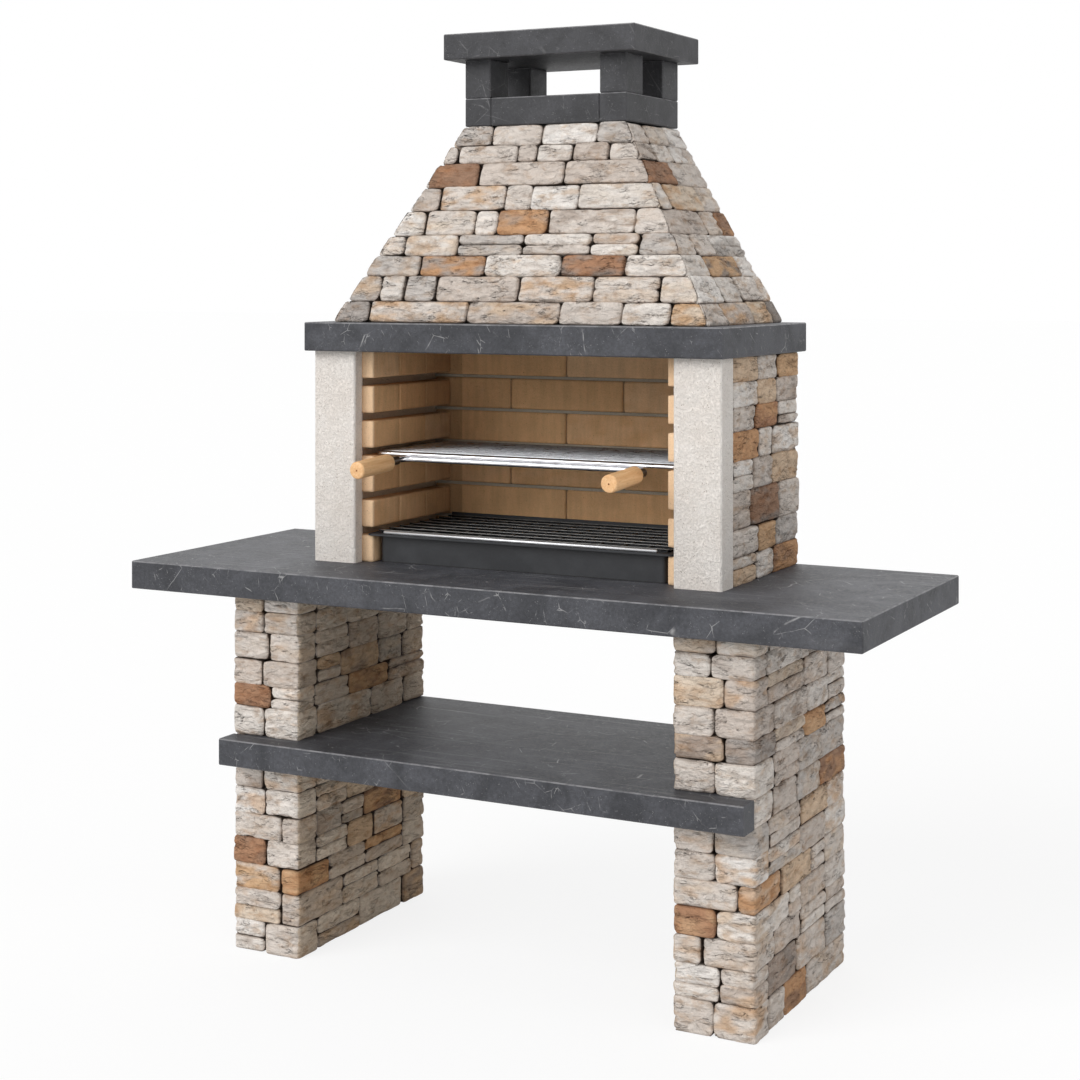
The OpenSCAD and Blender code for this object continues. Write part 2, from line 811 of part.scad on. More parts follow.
// Beam between the two side beams, with its front face at the given place
module crown_cross_beam(y) {
    length = chimney_w - 2 * crown_beam_w - 2 * bed_gap;
    color("#3d4045") translate([-length / 2, y, chimney_z])
        eased_block([length, crown_beam_w, crown_t], slab_arris);
}

module crown_beam_front() {
    crown_cross_beam(chimney_front);
}

module crown_beam_back() {
    crown_cross_beam(back_y - crown_beam_w);
}

// Right-hand chimney post, with its front face at the given place
module post(y) {
    color("#3d4045") translate([chimney_half - post_w, y, post_z])
        eased_block([post_w, post_d, post_h], slab_arris);
}

module post_front_right() {
    post(chimney_front);
}

module post_front_left() {
    mirror([1, 0, 0]) post(chimney_front);
}

module post_back_right() {
    post(back_y - post_d);
}

module post_back_left() {
    mirror([1, 0, 0]) post(back_y - post_d);
}

module cap_slab() {
    color("#3d4045") translate([-chimney_half - cap_overhang, chimney_front - cap_overhang, cap_z])
        eased_block([chimney_w + 2 * cap_overhang, chimney_d + 2 * cap_overhang, cap_t], slab_arris);
}

// Round rod from one point along X or Y
module rod_x(d, length) {
    rotate([0, 90, 0]) cylinder(d = d, h = length, center = true);
}

module rod_y(d, front, back) {
    translate([0, back, 0]) rotate([90, 0, 0]) cylinder(d = d, h = back - front);
}

// Quarter bend of a round rod, from the +X direction round to the +Y direction
module rod_bend(d, r) {
    rotate_extrude(angle = 90) translate([r, 0]) circle(d = d);
}

// Rod bent into a rectangle with round corners
module rod_frame(half, front, back, d, r) {
    for (side = [-1, 1])
        translate([side * half, 0, 0]) rod_y(d, front + r, back - r);
    for (y = [front, back])
        translate([0, y, 0]) rod_x(d, 2 * (half - r));
    translate([half - r, back - r, 0]) rod_bend(d, r);
    translate([r - half, back - r, 0]) rotate([0, 0, 90]) rod_bend(d, r);
    translate([r - half, front + r, 0]) rotate([0, 0, 180]) rod_bend(d, r);
    translate([half - r, front + r, 0]) rotate([0, 0, 270]) rod_bend(d, r);
}

module grill_grid() {
    pitch = (grill_back - grill_front) / (grill_wires + 1);
    bar_pitch = 2 * grill_half / (grill_bars + 1);
    color("silver") {
        translate([0, 0, grill_z]) {
            rod_frame(grill_half, grill_front, grill_back, grill_rod_d, grill_corner_r);
            for (i = [1 : grill_bars])
                translate([i * bar_pitch - grill_half, 0, 0]) rod_y(grill_bar_d, grill_front, grill_back);
        }
        for (i = [1 : grill_wires])
            translate([0, grill_front + i * pitch, grill_wire_z]) rod_x(grill_wire_d, 2 * grill_half);
    }
}

// Puts what is drawn about the handle bar's cross part at its place and tilt
module at_handle_bar() {
    translate([0, grill_front, handle_bar_z]) rotate([handle_tilt, 0, 0]) children();
}

module grill_handle_bar() {
    half = handle_spacing / 2;
    tip = -handle_bend_r - ferrule_l - handle_hole_l + handle_round;
    color("silver") at_handle_bar() {
        rod_x(handle_bar_d, 2 * (half - handle_bend_r));
        for (side = [0, 1]) mirror([side, 0, 0]) {
            translate([half - handle_bend_r, -handle_bend_r, 0]) rod_bend(handle_bar_d, handle_bend_r);
            translate([half, 0, 0]) rod_y(handle_bar_d, tip, -handle_bend_r);
        }
    }
}

module ferrule_right() {
    color("dimgray") at_handle_bar() translate([handle_spacing / 2, -handle_bend_r - ferrule_l, 0])
        difference() {
            rod_y(ferrule_d, bed_gap, ferrule_l);
            rod_y(handle_bar_d + 2 * handle_fit, -cut_past, ferrule_l + cut_past);
        }
}

module ferrule_left() {
    mirror([1, 0, 0]) ferrule_right();
}

// Turned handle, its root at the collar, with a hole for the bar and a pilot hole in its end
module handle_right() {
    neck = handle_d / 2 - handle_round;
    shoulder = handle_l - handle_round;
    turn = [for (a = [0 : 15 : 90]) handle_round * [sin(a), cos(a)]];
    profile = [
        [0, 0],
        for (p = turn) [neck + p.x, handle_round - p.y],
        for (p = turn) [neck + p.y, shoulder + p.x],
        [0, handle_l]
    ];
    color("#d6ab74") at_handle_bar() translate([handle_spacing / 2, -handle_bend_r - ferrule_l, 0])
        rotate([90, 0, 0]) difference() {
            rotate_extrude() polygon(profile);
            translate([0, 0, -cut_past])
                cylinder(d = handle_bar_d + 2 * handle_fit, h = handle_hole_l + cut_past);
            translate([0, 0, handle_l - pilot_l]) cylinder(d = pilot_d, h = pilot_l + cut_past);
        }
}

module handle_left() {
    mirror([1, 0, 0]) handle_right();
}

// Rectangle with round corners, from its low corner
module round_rect(size, r) {
    translate([r, 0]) square([size.x - 2 * r, size.y]);
    translate([0, r]) square([size.x, size.y - 2 * r]);
    for (x = [r, size.x - r], y = [r, size.y - r])
        translate([x, y]) circle(r = r);
}

// Upright cut from the pan's inner right corner, towards a place outside it
module pan_seam_to(corner, outside) {
    way = outside - corner;
    translate([corner.x, corner.y, pan_z]) rotate([0, 0, atan2(way.y, way.x)])
        translate([-2 * pan_corner_r, -pan_seam / 2, 0])
            cube([norm(way) + 3 * pan_corner_r, pan_seam, rim_top + pan_back_rise]);
}

// Both seams on the pan's right
module pan_seams() {
    inside = pan_half - pan_t;
    pan_seam_to([inside, pan_front + pan_t], [rim_half, pan_front - pan_front_rim]);
    pan_seam_to([inside, pan_back - pan_t], [pan_half, pan_back]);
}

// Folded steel pan: sides with a rim that runs in the lowest slots, and a raised back.
// They are welded to each other and round the edge of a flat floor.
module ash_pan() {
    depth = pan_back - pan_front;
    inner_r = pan_corner_r - pan_t;
    color("#1d1e20") difference() {
        union() {
            translate([-pan_half, pan_front, pan_z + pan_t]) linear_extrude(rim_top - pan_z - pan_t)
                round_rect([2 * pan_half, depth], pan_corner_r);
            translate([-rim_half, pan_front - pan_front_rim, rim_z]) linear_extrude(pan_rim_t)
                round_rect([2 * rim_half, depth + pan_front_rim], pan_corner_r);
            translate([-pan_half, pan_back - pan_t, rim_z])
                cube([2 * pan_half, pan_t, pan_rim_t + pan_back_rise]);
        }
        translate([pan_t - pan_half, pan_front + pan_t, pan_z]) linear_extrude(rim_top)
            round_rect([2 * (pan_half - pan_t), depth - 2 * pan_t], inner_r);
        pan_seams();
        mirror([1, 0, 0]) pan_seams();
    }
}

module ash_pan_floor() {
    color("#1d1e20") translate([-pan_half, pan_front, pan_z]) linear_extrude(pan_t)
        round_rect([2 * pan_half, pan_back - pan_front], pan_corner_r);
}

// Loose grate of wires over bars; its outermost bars lie on the pan's side rims, its front rod on
// the front rim
module charcoal_grate() {
    half = brick_in - grate_side_gap;
    bar_half = (pan_half + brick_in) / 2;
    inner_half = pan_half - pan_t - grate_rod_inset;
    first = pan_front + pan_t + grate_wire_d;
    pitch = (grate_back - first) / (grate_wires - 1);
    bar_pitch = 2 * bar_half / (grate_bars - 1);
    color("#2b2c2e") {
        for (i = [0 : grate_wires - 1])
            translate([0, first + i * pitch, grate_wire_z]) rod_x(grate_wire_d, 2 * half);
        for (x = [-bar_half : bar_pitch : bar_half + weld])
            translate([x, 0, grate_bar_z])
                rod_y(grate_bar_d, abs(x) < inner_half ? grate_front : first, grate_back);
        translate([0, grate_front, grate_rod_z]) rod_x(grate_rod_d, 2 * inner_half);
    }
}

worktop();
shelf_slab();
pier_lower_left();
pier_lower_right();
pier_upper_left();
pier_upper_right();
shelf_cover_left();
shelf_cover_right();
jamb_left();
jamb_right();
side_panel_left();
side_panel_right();
side_stones_left();
side_stones_right();
back_panel();
firebricks_left();
firebricks_right();
firebricks_back();
back_mortar();
lintel_slab();
hood_shell();
hood_stones_front();
hood_stones_left();
hood_stones_right();
crown_beam_front();
crown_beam_back();
crown_beam_left();
crown_beam_right();
post_front_left();
post_front_right();
post_back_left();
post_back_right();
cap_slab();
grill_grid();
grill_handle_bar();
ferrule_left();
ferrule_right();
handle_left();
handle_right();
ash_pan();
ash_pan_floor();
charcoal_grate();
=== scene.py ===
"""Masonry barbecue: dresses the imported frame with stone, slab, brick, steel and wood."""

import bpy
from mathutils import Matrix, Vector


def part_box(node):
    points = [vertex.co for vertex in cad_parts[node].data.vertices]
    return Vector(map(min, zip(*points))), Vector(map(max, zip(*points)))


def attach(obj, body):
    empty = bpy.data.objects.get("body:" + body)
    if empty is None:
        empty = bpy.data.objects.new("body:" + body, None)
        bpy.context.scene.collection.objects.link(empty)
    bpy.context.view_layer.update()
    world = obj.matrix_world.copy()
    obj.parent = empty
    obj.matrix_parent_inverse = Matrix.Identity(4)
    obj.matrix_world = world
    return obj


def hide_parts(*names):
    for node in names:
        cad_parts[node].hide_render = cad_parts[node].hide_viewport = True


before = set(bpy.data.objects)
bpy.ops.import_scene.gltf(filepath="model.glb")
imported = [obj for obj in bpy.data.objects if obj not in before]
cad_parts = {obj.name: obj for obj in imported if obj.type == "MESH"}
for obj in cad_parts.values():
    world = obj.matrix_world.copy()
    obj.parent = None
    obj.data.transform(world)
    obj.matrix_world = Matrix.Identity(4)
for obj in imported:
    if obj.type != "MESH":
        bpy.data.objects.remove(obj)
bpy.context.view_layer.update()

import logging
import math
from dataclasses import dataclass, field
from enum import Enum
from functools import reduce
from itertools import product
from typing import Optional, Union

import bpy
import numpy as np

LOG = logging.getLogger("barbecue")
GRILL_FRONT_ROD = -0.0755
GRILL_BACK_INSET = 0.0085
GRATE_FRONT_ROD = -0.1030
BRICK_FRONT = -0.1110
LINING_EDGE = 0.006
MITRE_FILL = 0.0009
TINY = 1e-9
NOISE_SPAN = (0.3, 0.7)
WHITE = (1.0, 1.0, 1.0, 1.0)
PRIMES = (374761393, 668265263, 2246822519, 3266489917)
SHIFTS = np.array([0, 10, 20], np.uint32)
MOST = 1023

Array = np.ndarray
Socket = bpy.types.NodeSocket
Material = bpy.types.Material
Piece = bpy.types.Object
Node = bpy.types.Node
Value = Union[float, tuple, Socket]
Place = tuple[float, float, float]
Colour = tuple[int, int, int]


def linear(colour: Colour) -> tuple[float, ...]:
    """Turns a screen colour, in steps of 0 to 255, into a shader's linear values and an alpha of 1."""
    parts = [step / 255.0 for step in colour]
    return (*(part / 12.92 if part <= 0.04045 else ((part + 0.055) / 1.055) ** 2.4 for part in parts), 1.0)


def eased(values: Array, low: float, high: float) -> Array:
    """Rises smoothly from 0 at low to 1 at high."""
    part = np.clip((values - low) / (high - low), 0.0, 1.0)
    return part * part * (3.0 - 2.0 * part)


class Tone(Enum):
    """Colours of the natural stones and bricks, in steps of 0 to 255."""

    CHALK = (235, 229, 223)
    IVORY = (229, 221, 213)
    LIMESTONE = (219, 209, 200)
    GREIGE = (206, 194, 184)
    PEWTER = (197, 190, 184)
    SAND = (222, 205, 186)
    TAN = (209, 184, 158)
    OCHRE = (206, 170, 134)
    ORANGE = (196, 152, 114)
    RUST = (172, 130, 101)
    BROWN = (156, 124, 102)
    BROWN_GREY = (172, 156, 144)
    SMOKE = (146, 137, 130)
    GREY = (170, 162, 156)
    BISCUIT = (240, 195, 148)
    TOAST = (233, 187, 138)
    STRAW = (243, 202, 158)
    CLAY = (228, 179, 130)

    def rgb(self) -> Array:
        """Returns the tone as three linear values."""
        return np.array(linear(self.value)[:3])


class Side(Enum):
    """The sides of a wall, as the axis and the direction that each faces."""

    LEFT = (0, -1)
    RIGHT = (0, 1)
    FRONT = (1, -1)
    BACK = (1, 1)
    UNDER = (2, -1)
    TOP = (2, 1)

    def faced(self, directions: Array) -> Array:
        """Tells how much directions, one row each, look to this side."""
        return directions[:, self.value[0]] * self.value[1]


ROUND_PIER = (Side.LEFT, Side.RIGHT, Side.FRONT, Side.BACK)


def hashed(cells: Array, seed: int) -> Array:
    """Scrambles whole-numbered cells.

    Args:
        cells: one row of three each.
        seed: picks the pattern.

    Returns:
        One 32-bit number a cell.
    """
    with np.errstate(over="ignore"):
        mixed = np.full(len(cells), (seed * PRIMES[3]) & 0xFFFFFFFF, np.uint32)
        for column, prime in zip(cells.T, PRIMES):
            mixed = mixed ^ (column.astype(np.uint32) * np.uint32(prime))
            mixed = (mixed ^ (mixed >> np.uint32(15))) * np.uint32(PRIMES[2])
            mixed = mixed ^ (mixed >> np.uint32(13))
        mixed = mixed * np.uint32(PRIMES[3])
        return mixed ^ (mixed >> np.uint32(16))


def smooth(points: Array, seed: int) -> Array:
    """Gradient noise with cells of one unit.

    Args:
        points: places, one row each.
        seed: picks the pattern.

    Returns:
        Values of about -1 to 1.
    """
    base = np.floor(points).astype(np.int64)
    part = points - base
    fade = part * part * part * (part * (part * 6.0 - 15.0) + 10.0)
    total = np.zeros(len(points))
    for corner in np.ndindex(2, 2, 2):
        step = np.array(corner[::-1])
        code = (hashed(base + step, seed)[:, None] >> SHIFTS) & np.uint32(MOST)
        slope = code / (MOST / 2.0) - 1.0
        weight = np.prod(np.where(step == 1, fade, 1.0 - fade), axis=1)
        total += weight * np.sum(slope * (part - step), axis=1)
    return total * 1.5


def cloudy(points: Array, seed: int, octaves: int) -> Array:
    """Adds finer and finer noise, each octave half as strong as the last."""
    return sum(0.5 ** octave * smooth(points * 2.03 ** octave + 7.1 * octave, seed + octave)
               for octave in range(octaves)) / 1.5


@dataclass(frozen=True)
class Relief:
    """How split stone is worn and how fine its grid is, in metres or as a share."""

    arris: float = 0.0010
    corner: float = 0.0030
    pillow: float = 0.14
    proud: float = 0.0022
    swell: float = 0.0028
    ledge: float = 0.0044
    crease: float = 0.0008
    grit: float = 0.0012
    joint_share: float = 0.05
    step_along: float = 0.0054
    step_up: float = 0.0040
    step_hidden: float = 0.034
    grain: float = 0.034
    flatten: float = 2.5
    refill: float = 0.0023


PRESSED_BRICK = Relief(0.0005, 0.0005, 0.05, 0.0002, 0.0003, 0.0, 0.0, 0.0003, 0.6, 0.018, 0.012, 0.040,
                       0.020, 1.0, 0.0)


@dataclass
class Block:
    """One stone or brick of the CAD model, in its wall's own axes."""

    normals: Array
    reaches: Array
    low: Array
    high: Array
    middle: Array
    shown: int = 0

    OPEN = 0.4
    MITRED = (-0.9, -0.35)
    TRIES = 6
    LEAST = 1e-6

    def face_joints(self, seen: set[Side], closed: float) -> None:
        """Puts the planes that face a joint behind the open ones and the mitres.

        Args:
            seen: the open sides.
            closed: how far mitres move out, or 0.
        """
        shown = np.zeros(len(self.normals), bool)
        for side in seen:
            facing = side.faced(self.normals)
            mitre = (facing > self.MITRED[0]) & (facing < self.MITRED[1]) & (closed > 0.0)
            self.reaches = self.reaches + closed * mitre
            shown |= (facing > self.OPEN) | mitre
        order = np.argsort(~shown, kind="stable")
        self.normals, self.reaches, self.shown = self.normals[order], self.reaches[order], int(shown.sum())

    @staticmethod
    def blend(over: Array, soft: float) -> tuple[Array, Array]:
        """Takes the greatest distance, rounded where two are alike.

        Args:
            over: distances, one row a point.
            soft: the rounding.

        Returns:
            The distance, and each one's share in it.
        """
        most = over.max(axis=1, keepdims=True)
        weight = np.exp((over - most) / soft)
        total = weight.sum(axis=1, keepdims=True)
        return soft * np.log(total[:, 0]) + most[:, 0], weight / total

    def depth(self, points: Array, arris: float, corner: float) -> tuple[Array, Array]:
        """Measures how far points lie outside the rounded block.

        Args:
            points: places, one row each.
            arris: the open sides' rounding.
            corner: the joints' rounding.

        Returns:
            The distance, below 0 inside, and the outward direction.
        """
        over = points @ self.normals.T - self.reaches
        joint, share = self.blend(over[:, self.shown:], corner)
        reach, part = self.blend(np.column_stack([over[:, :self.shown], joint]), arris)
        outward = part[:, :-1] @ self.normals[:self.shown] + part[:, -1:] * (share @ self.normals[self.shown:])
        return reach, outward / np.maximum(np.linalg.norm(outward, axis=1, keepdims=True), TINY)

    def skin(self, aims: Array, form: Relief) -> tuple[Array, Array]:
        """Finds the rounded surface along rays from the middle.

        Args:
            aims: where the rays go through.
            form: gives the rounding.

        Returns:
            The points and their outward directions.
        """
        rays = aims - self.middle
        rise = rays @ self.normals.T
        room = self.reaches - self.normals @ self.middle
        with np.errstate(divide="ignore", invalid="ignore"):
            along = np.where(rise > TINY, room / rise, np.inf).min(axis=1)
        for _ in range(self.TRIES):
            outside, outward = self.depth(self.middle + rays * along[:, None], form.arris, form.corner)
            along = along - outside / np.maximum(np.sum(outward * rays, axis=1), self.LEAST)
        points = self.middle + rays * along[:, None]
        return points, self.depth(points, form.arris, form.corner)[1]


class BlockReader:
    """Splits the mesh of a CAD node into its separate blocks."""

    ROUNDED = 5
    SMALLEST = 1e-7
    SAME_WAY = 0.9985
    SAME_REACH = 0.0008
    SQUARE = 0.35
    HALFWAY = 0.992

    def __init__(self, node: str, axes: Array) -> None:
        """Reads the mesh of a node.

        Args:
            node: the CAD node.
            axes: the wall's own axes, one row each.
        """
        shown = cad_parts[node]
        mesh = shown.data
        flat = np.empty(len(mesh.vertices) * 3, np.float32)
        mesh.vertices.foreach_get("co", flat)
        matrix = np.array(shown.matrix_world)
        places = flat.reshape(-1, 3).astype(float) @ matrix[:3, :3].T + matrix[:3, 3]
        mesh.calc_loop_triangles()
        corners = np.empty(len(mesh.loop_triangles) * 3, np.int32)
        mesh.loop_triangles.foreach_get("vertices", corners)
        _, first, back = np.unique(np.round(places, self.ROUNDED), axis=0, return_index=True,
                                   return_inverse=True)
        self.places = places[first] @ axes.T
        self.triangles = back.reshape(-1)[corners].reshape(-1, 3)

    def parts(self) -> list[Array]:
        """Groups the triangles that hang together.

        Returns:
            Each part's triangles.
        """
        label, before = np.arange(len(self.places)), None
        while before is None or (label != before).any():
            before = label.copy()
            owner = label[self.triangles].min(axis=1)
            np.minimum.at(label, self.triangles, owner[:, None])
        return [np.nonzero(owner == name)[0] for name in dict.fromkeys(owner.tolist())]

    def blocks(self, refill: float) -> list[Block]:
        """Describes each part by its planes.

        Args:
            refill: how far chamfers move out again.

        Returns:
            One block for each part.
        """
        found = []
        for part in self.parts():
            triangles = self.triangles[part]
            a, b, c = (self.places[triangles[:, corner]] for corner in range(3))
            cross = np.cross(b - a, c - a)
            area = np.linalg.norm(cross, axis=1)
            keep = area > self.SMALLEST
            normals = cross[keep] / area[keep, None]
            reaches = np.sum(normals * a[keep], axis=1)
            planes = self.distinct(normals, reaches, area[keep])
            normals, reaches = normals[planes], reaches[planes]
            reaches = reaches + refill * self.chamfers(normals)
            points = self.places[np.unique(triangles)]
            found.append(Block(normals, reaches, points.min(axis=0), points.max(axis=0), points.mean(axis=0)))
        return found

    def chamfers(self, normals: Array) -> Array:
        """Finds the planes that lie halfway between two others.

        Args:
            normals: the planes' directions.

        Returns:
            1 for each such plane, else 0.
        """
        first, second = np.triu_indices(len(normals), 1)
        square = np.abs(np.sum(normals[first] * normals[second], axis=1)) < self.SQUARE
        halfway = normals[first[square]] + normals[second[square]]
        halfway /= np.linalg.norm(halfway, axis=1, keepdims=True)
        return ((normals @ halfway.T).max(axis=1) > self.HALFWAY).astype(float)

    def distinct(self, normals: Array, reaches: Array, area: Array) -> list[int]:
        """Picks the largest triangle of each plane.

        Args:
            normals: the triangles' directions.
            reaches: how far out they lie.
            area: their sizes.

        Returns:
            The picked triangles' numbers.
        """
        kept: list[int] = []
        for number in np.argsort(-area).tolist():
            alike = normals[kept] @ normals[number] > self.SAME_WAY
            if not (alike & (np.abs(reaches[kept] - reaches[number]) < self.SAME_REACH)).any():
                kept.append(number)
        return kept


class GridBox:
    """The grid of a box's surface: fine on open sides, and a rim round one face on hidden sides."""

    RIM = 0.0055

    def __init__(self, block: Block, relief: Relief, open_sides: set[Side]) -> None:
        """Lays the grid out over a block's box.

        Args:
            block: what is covered.
            relief: gives the steps.
            open_sides: what can be seen.
        """
        self.open_sides = open_sides
        cuts = []
        for axis, size in enumerate(block.high - block.low):
            across = any(side.value[0] != axis for side in open_sides)
            fine = relief.step_up if axis == 2 else relief.step_along
            cuts.append(self.spacing(size, fine if across else relief.step_hidden))
        self.counts = [len(cut) - 1 for cut in cuts]
        spots = np.stack(np.meshgrid(*cuts, indexing="ij"), axis=-1)
        self.shape = spots.shape[:3]
        self.places = (block.low + spots).reshape(-1, 3)

    def spacing(self, size: float, step: float) -> Array:
        """Cuts a length into a narrow first and last step and even ones between."""
        rim = min(self.RIM, size / 3.0, step)
        return np.r_[0.0, np.linspace(rim, size - rim, max(2, round((size - 2.0 * rim) / step) + 1)), size]

    def number(self, side: Side, first: Array, second: Array) -> Array:
        """Numbers grid points on one side of the box, by their steps along that side's two axes."""
        level = np.full_like(first, 0 if side.value[1] < 0 else self.counts[side.value[0]])
        return np.ravel_multi_index(np.insert([first, second], side.value[0], level, axis=0), self.shape)

    def faces(self) -> list[list[int]]:
        """Covers the six sides with faces that all face outward.

        Returns:
            Each face's corner numbers.
        """
        made: list[list[int]] = []
        for side in Side:
            axis, way = side.value
            rows, columns = [self.counts[other] for other in range(3) if other != axis]
            turn = 1 if (way > 0) != (axis == 1) else -1
            a, b = np.indices((rows, columns)).reshape(2, -1)
            whole = side in self.open_sides or rows < 3 or columns < 3
            if not whole:
                rim = (a == 0) | (b == 0) | (a == rows - 1) | (b == columns - 1)
                a, b = a[rim], b[rim]
            ring = [self.number(side, a + i, b + j) for i, j in ((0, 0), (1, 0), (1, 1), (0, 1))]
            made.extend(np.stack(ring[::turn], axis=1).tolist())
            if not whole:
                along, up = np.arange(1, rows - 1), np.arange(1, columns - 1)
                first = [along, np.full(len(up), rows - 1), along[::-1] + 1, np.full(len(up), 1)]
                second = [np.full(len(along), 1), up, np.full(len(along), columns - 1), up[::-1] + 1]
                made.append(self.number(side, np.concatenate(first), np.concatenate(second))[::turn].tolist())
        return made


class NodeBench:
    """Lays out the nodes of one material or sky, and keeps the colour and the bump made so far."""

    def __init__(self, name: str, kind: str = "materials") -> None:
        """Starts an empty material or sky.

        Args:
            name: its name.
            kind: where Blender keeps it.
        """
        self.owner = getattr(bpy.data, kind).new(name)
        self.owner.use_nodes = True
        self.tree = self.owner.node_tree
        self.tree.nodes.clear()
        self.place = self.add("TexCoord").outputs["Object"]
        self.colour: Value = WHITE
        self.under: dict[str, Socket] = {}

    def add(self, kind: str, inputs: Optional[dict] = None, **settings: object) -> Node:
        """Adds a node.

        Args:
            kind: its type.
            inputs: values or links by input.
            settings: its own settings.

        Returns:
            The node.
        """
        node = self.tree.nodes.new("ShaderNode" + kind)
        for key, value in settings.items():
            setattr(node, key, value)
        for key, value in (inputs or {}).items():
            if isinstance(value, Socket):
                self.tree.links.new(value, node.inputs[key])
            else:
                node.inputs[key].default_value = value
        return node

    def attribute(self, name: str, output: str = "Color") -> Socket:
        """Reads an attribute of the mesh, as its named output."""
        return self.add("Attribute", attribute_name=name).outputs[output]

    def split(self, vector: Socket) -> tuple[Socket, ...]:
        """Splits a vector into its x, y and z."""
        return tuple(self.add("SeparateXYZ", {0: vector}).outputs)

    def facing(self, kind: str = "Normal") -> tuple[Socket, ...]:
        """Splits the direction that the surface looks in into its x, y and z."""
        return self.split(self.add("NewGeometry").outputs[kind])

    def scaled(self, vector: Value, amount: Value) -> Socket:
        """Multiplies a vector or a colour by a number."""
        return self.add("VectorMath", {0: vector, "Scale": amount}, operation="SCALE").outputs["Vector"]

    def stretch(self, scale: Place, turn: Place = (0.0, 0.0, 0.0)) -> Socket:
        """Turns the piece's places, and stretches them to make a pattern denser along each axis."""
        inputs = {"Vector": self.place, "Scale": tuple(1.0 / part for part in scale), "Rotation": turn}
        return self.add("Mapping", inputs, vector_type="TEXTURE").outputs["Vector"]

    def bent(self, place: Socket, scale: float, reach: float) -> Socket:
        """Moves places about by soft noise, with scale waves in each metre, by up to reach."""
        twist = self.add("TexNoise", {"Vector": place, "Scale": scale, "Detail": 2.0}).outputs["Color"]
        return self.add("VectorMath", {0: place, 1: self.scaled(twist, 2.0 * reach)}).outputs["Vector"]

    def noise(self, scale: float, detail: float = 4.0, rough: float = 0.55, place: Optional[Socket] = None,
              warp: float = 0.0) -> Socket:
        """Adds cloudy noise of about 0 to 1, with scale patches in each metre."""
        inputs = {"Scale": scale, "Detail": detail, "Roughness": rough, "Distortion": warp}
        return self.add("TexNoise", {"Vector": place or self.place, **inputs}).outputs["Fac"]

    def cells(self, scale: float, feature: str = "F1", place: Optional[Socket] = None) -> Socket:
        """Adds a pattern of cells, with scale of them in each metre, and measures a feature of them."""
        inputs = {"Vector": place or self.place, "Scale": scale}
        return self.add("TexVoronoi", inputs, feature=feature).outputs["Distance"]

    def math(self, kind: str, first: Value, *others: Value) -> Socket:
        """Works out one sum, step by step where there are more than two numbers."""
        return reduce(lambda one, two: self.add("Math", {0: one, 1: two}, operation=kind).outputs[0],
                      others or (0.0,), first)

    def times(self, *factors: Value) -> Socket:
        """Multiplies numbers."""
        return self.math("MULTIPLY", *factors)

    def ramp(self, value: Socket, low: float, high: float, start: float = 0.0, end: float = 1.0) -> Socket:
        """Turns low to high of a value into start to end, with soft ends."""
        inputs = {"Value": value, "From Min": low, "From Max": high, "To Min": start, "To Max": end}
        return self.add("MapRange", inputs, interpolation_type="SMOOTHSTEP").outputs["Result"]

    def spread(self, value: Socket, start: float, end: float) -> Socket:
        """Turns the usual span of a noise into start to end."""
        return self.ramp(value, *NOISE_SPAN, start, end)

    def edges(self) -> Socket:
        """Finds the chamfered arrises of a squared piece by the direction of its faces."""
        flat = [self.math("ABSOLUTE", part) for part in self.facing("True Normal")]
        return self.ramp(self.math("MAXIMUM", *flat), 0.985, 0.9)

    def paint(self, tone: Colour, share: Value, blend: str = "MIX") -> None:
        """Lays a share of a tone over the colour."""
        inputs = {0: share, 6: self.colour, 7: linear(tone)}
        self.colour = self.add("Mix", inputs, data_type="RGBA", blend_type=blend).outputs[2]

    def stain(self, tone: Colour, share: Value) -> None:
        """Darkens the colour by a share of a tone, for stains and for painted shade."""
        self.paint(tone, share, "MULTIPLY")

    def shade(self, value: Socket, start: float, end: float, span: tuple[float, float] = NOISE_SPAN) -> None:
        """Multiplies the colour by start to end over the span of a value."""
        self.colour = self.scaled(self.colour, self.ramp(value, *span, start, end))

    def bump(self, height: Socket, depth: float, strength: float) -> None:
        """Lays a bump of 0 to 1 times depth, in metres, over the last one."""
        inputs = {"Height": height, "Distance": depth, "Strength": strength, **self.under}
        self.under = {"Normal": self.add("Bump", inputs).outputs["Normal"]}

    def finish(self, rough: Value, specular: float = 0.5, metal: float = 0.0) -> Material:
        """Ends the material with its shader.

        Args:
            rough: its roughness.
            specular: how strongly it reflects.
            metal: its share of metal.

        Returns:
            The material.
        """
        inputs = {"Base Color": self.colour, "Roughness": rough, "Specular IOR Level": specular,
                  "Metallic": metal, **self.under}
        shader = self.add("BsdfPrincipled", inputs)
        self.add("OutputMaterial", {"Surface": shader.outputs["BSDF"]})
        return self.owner


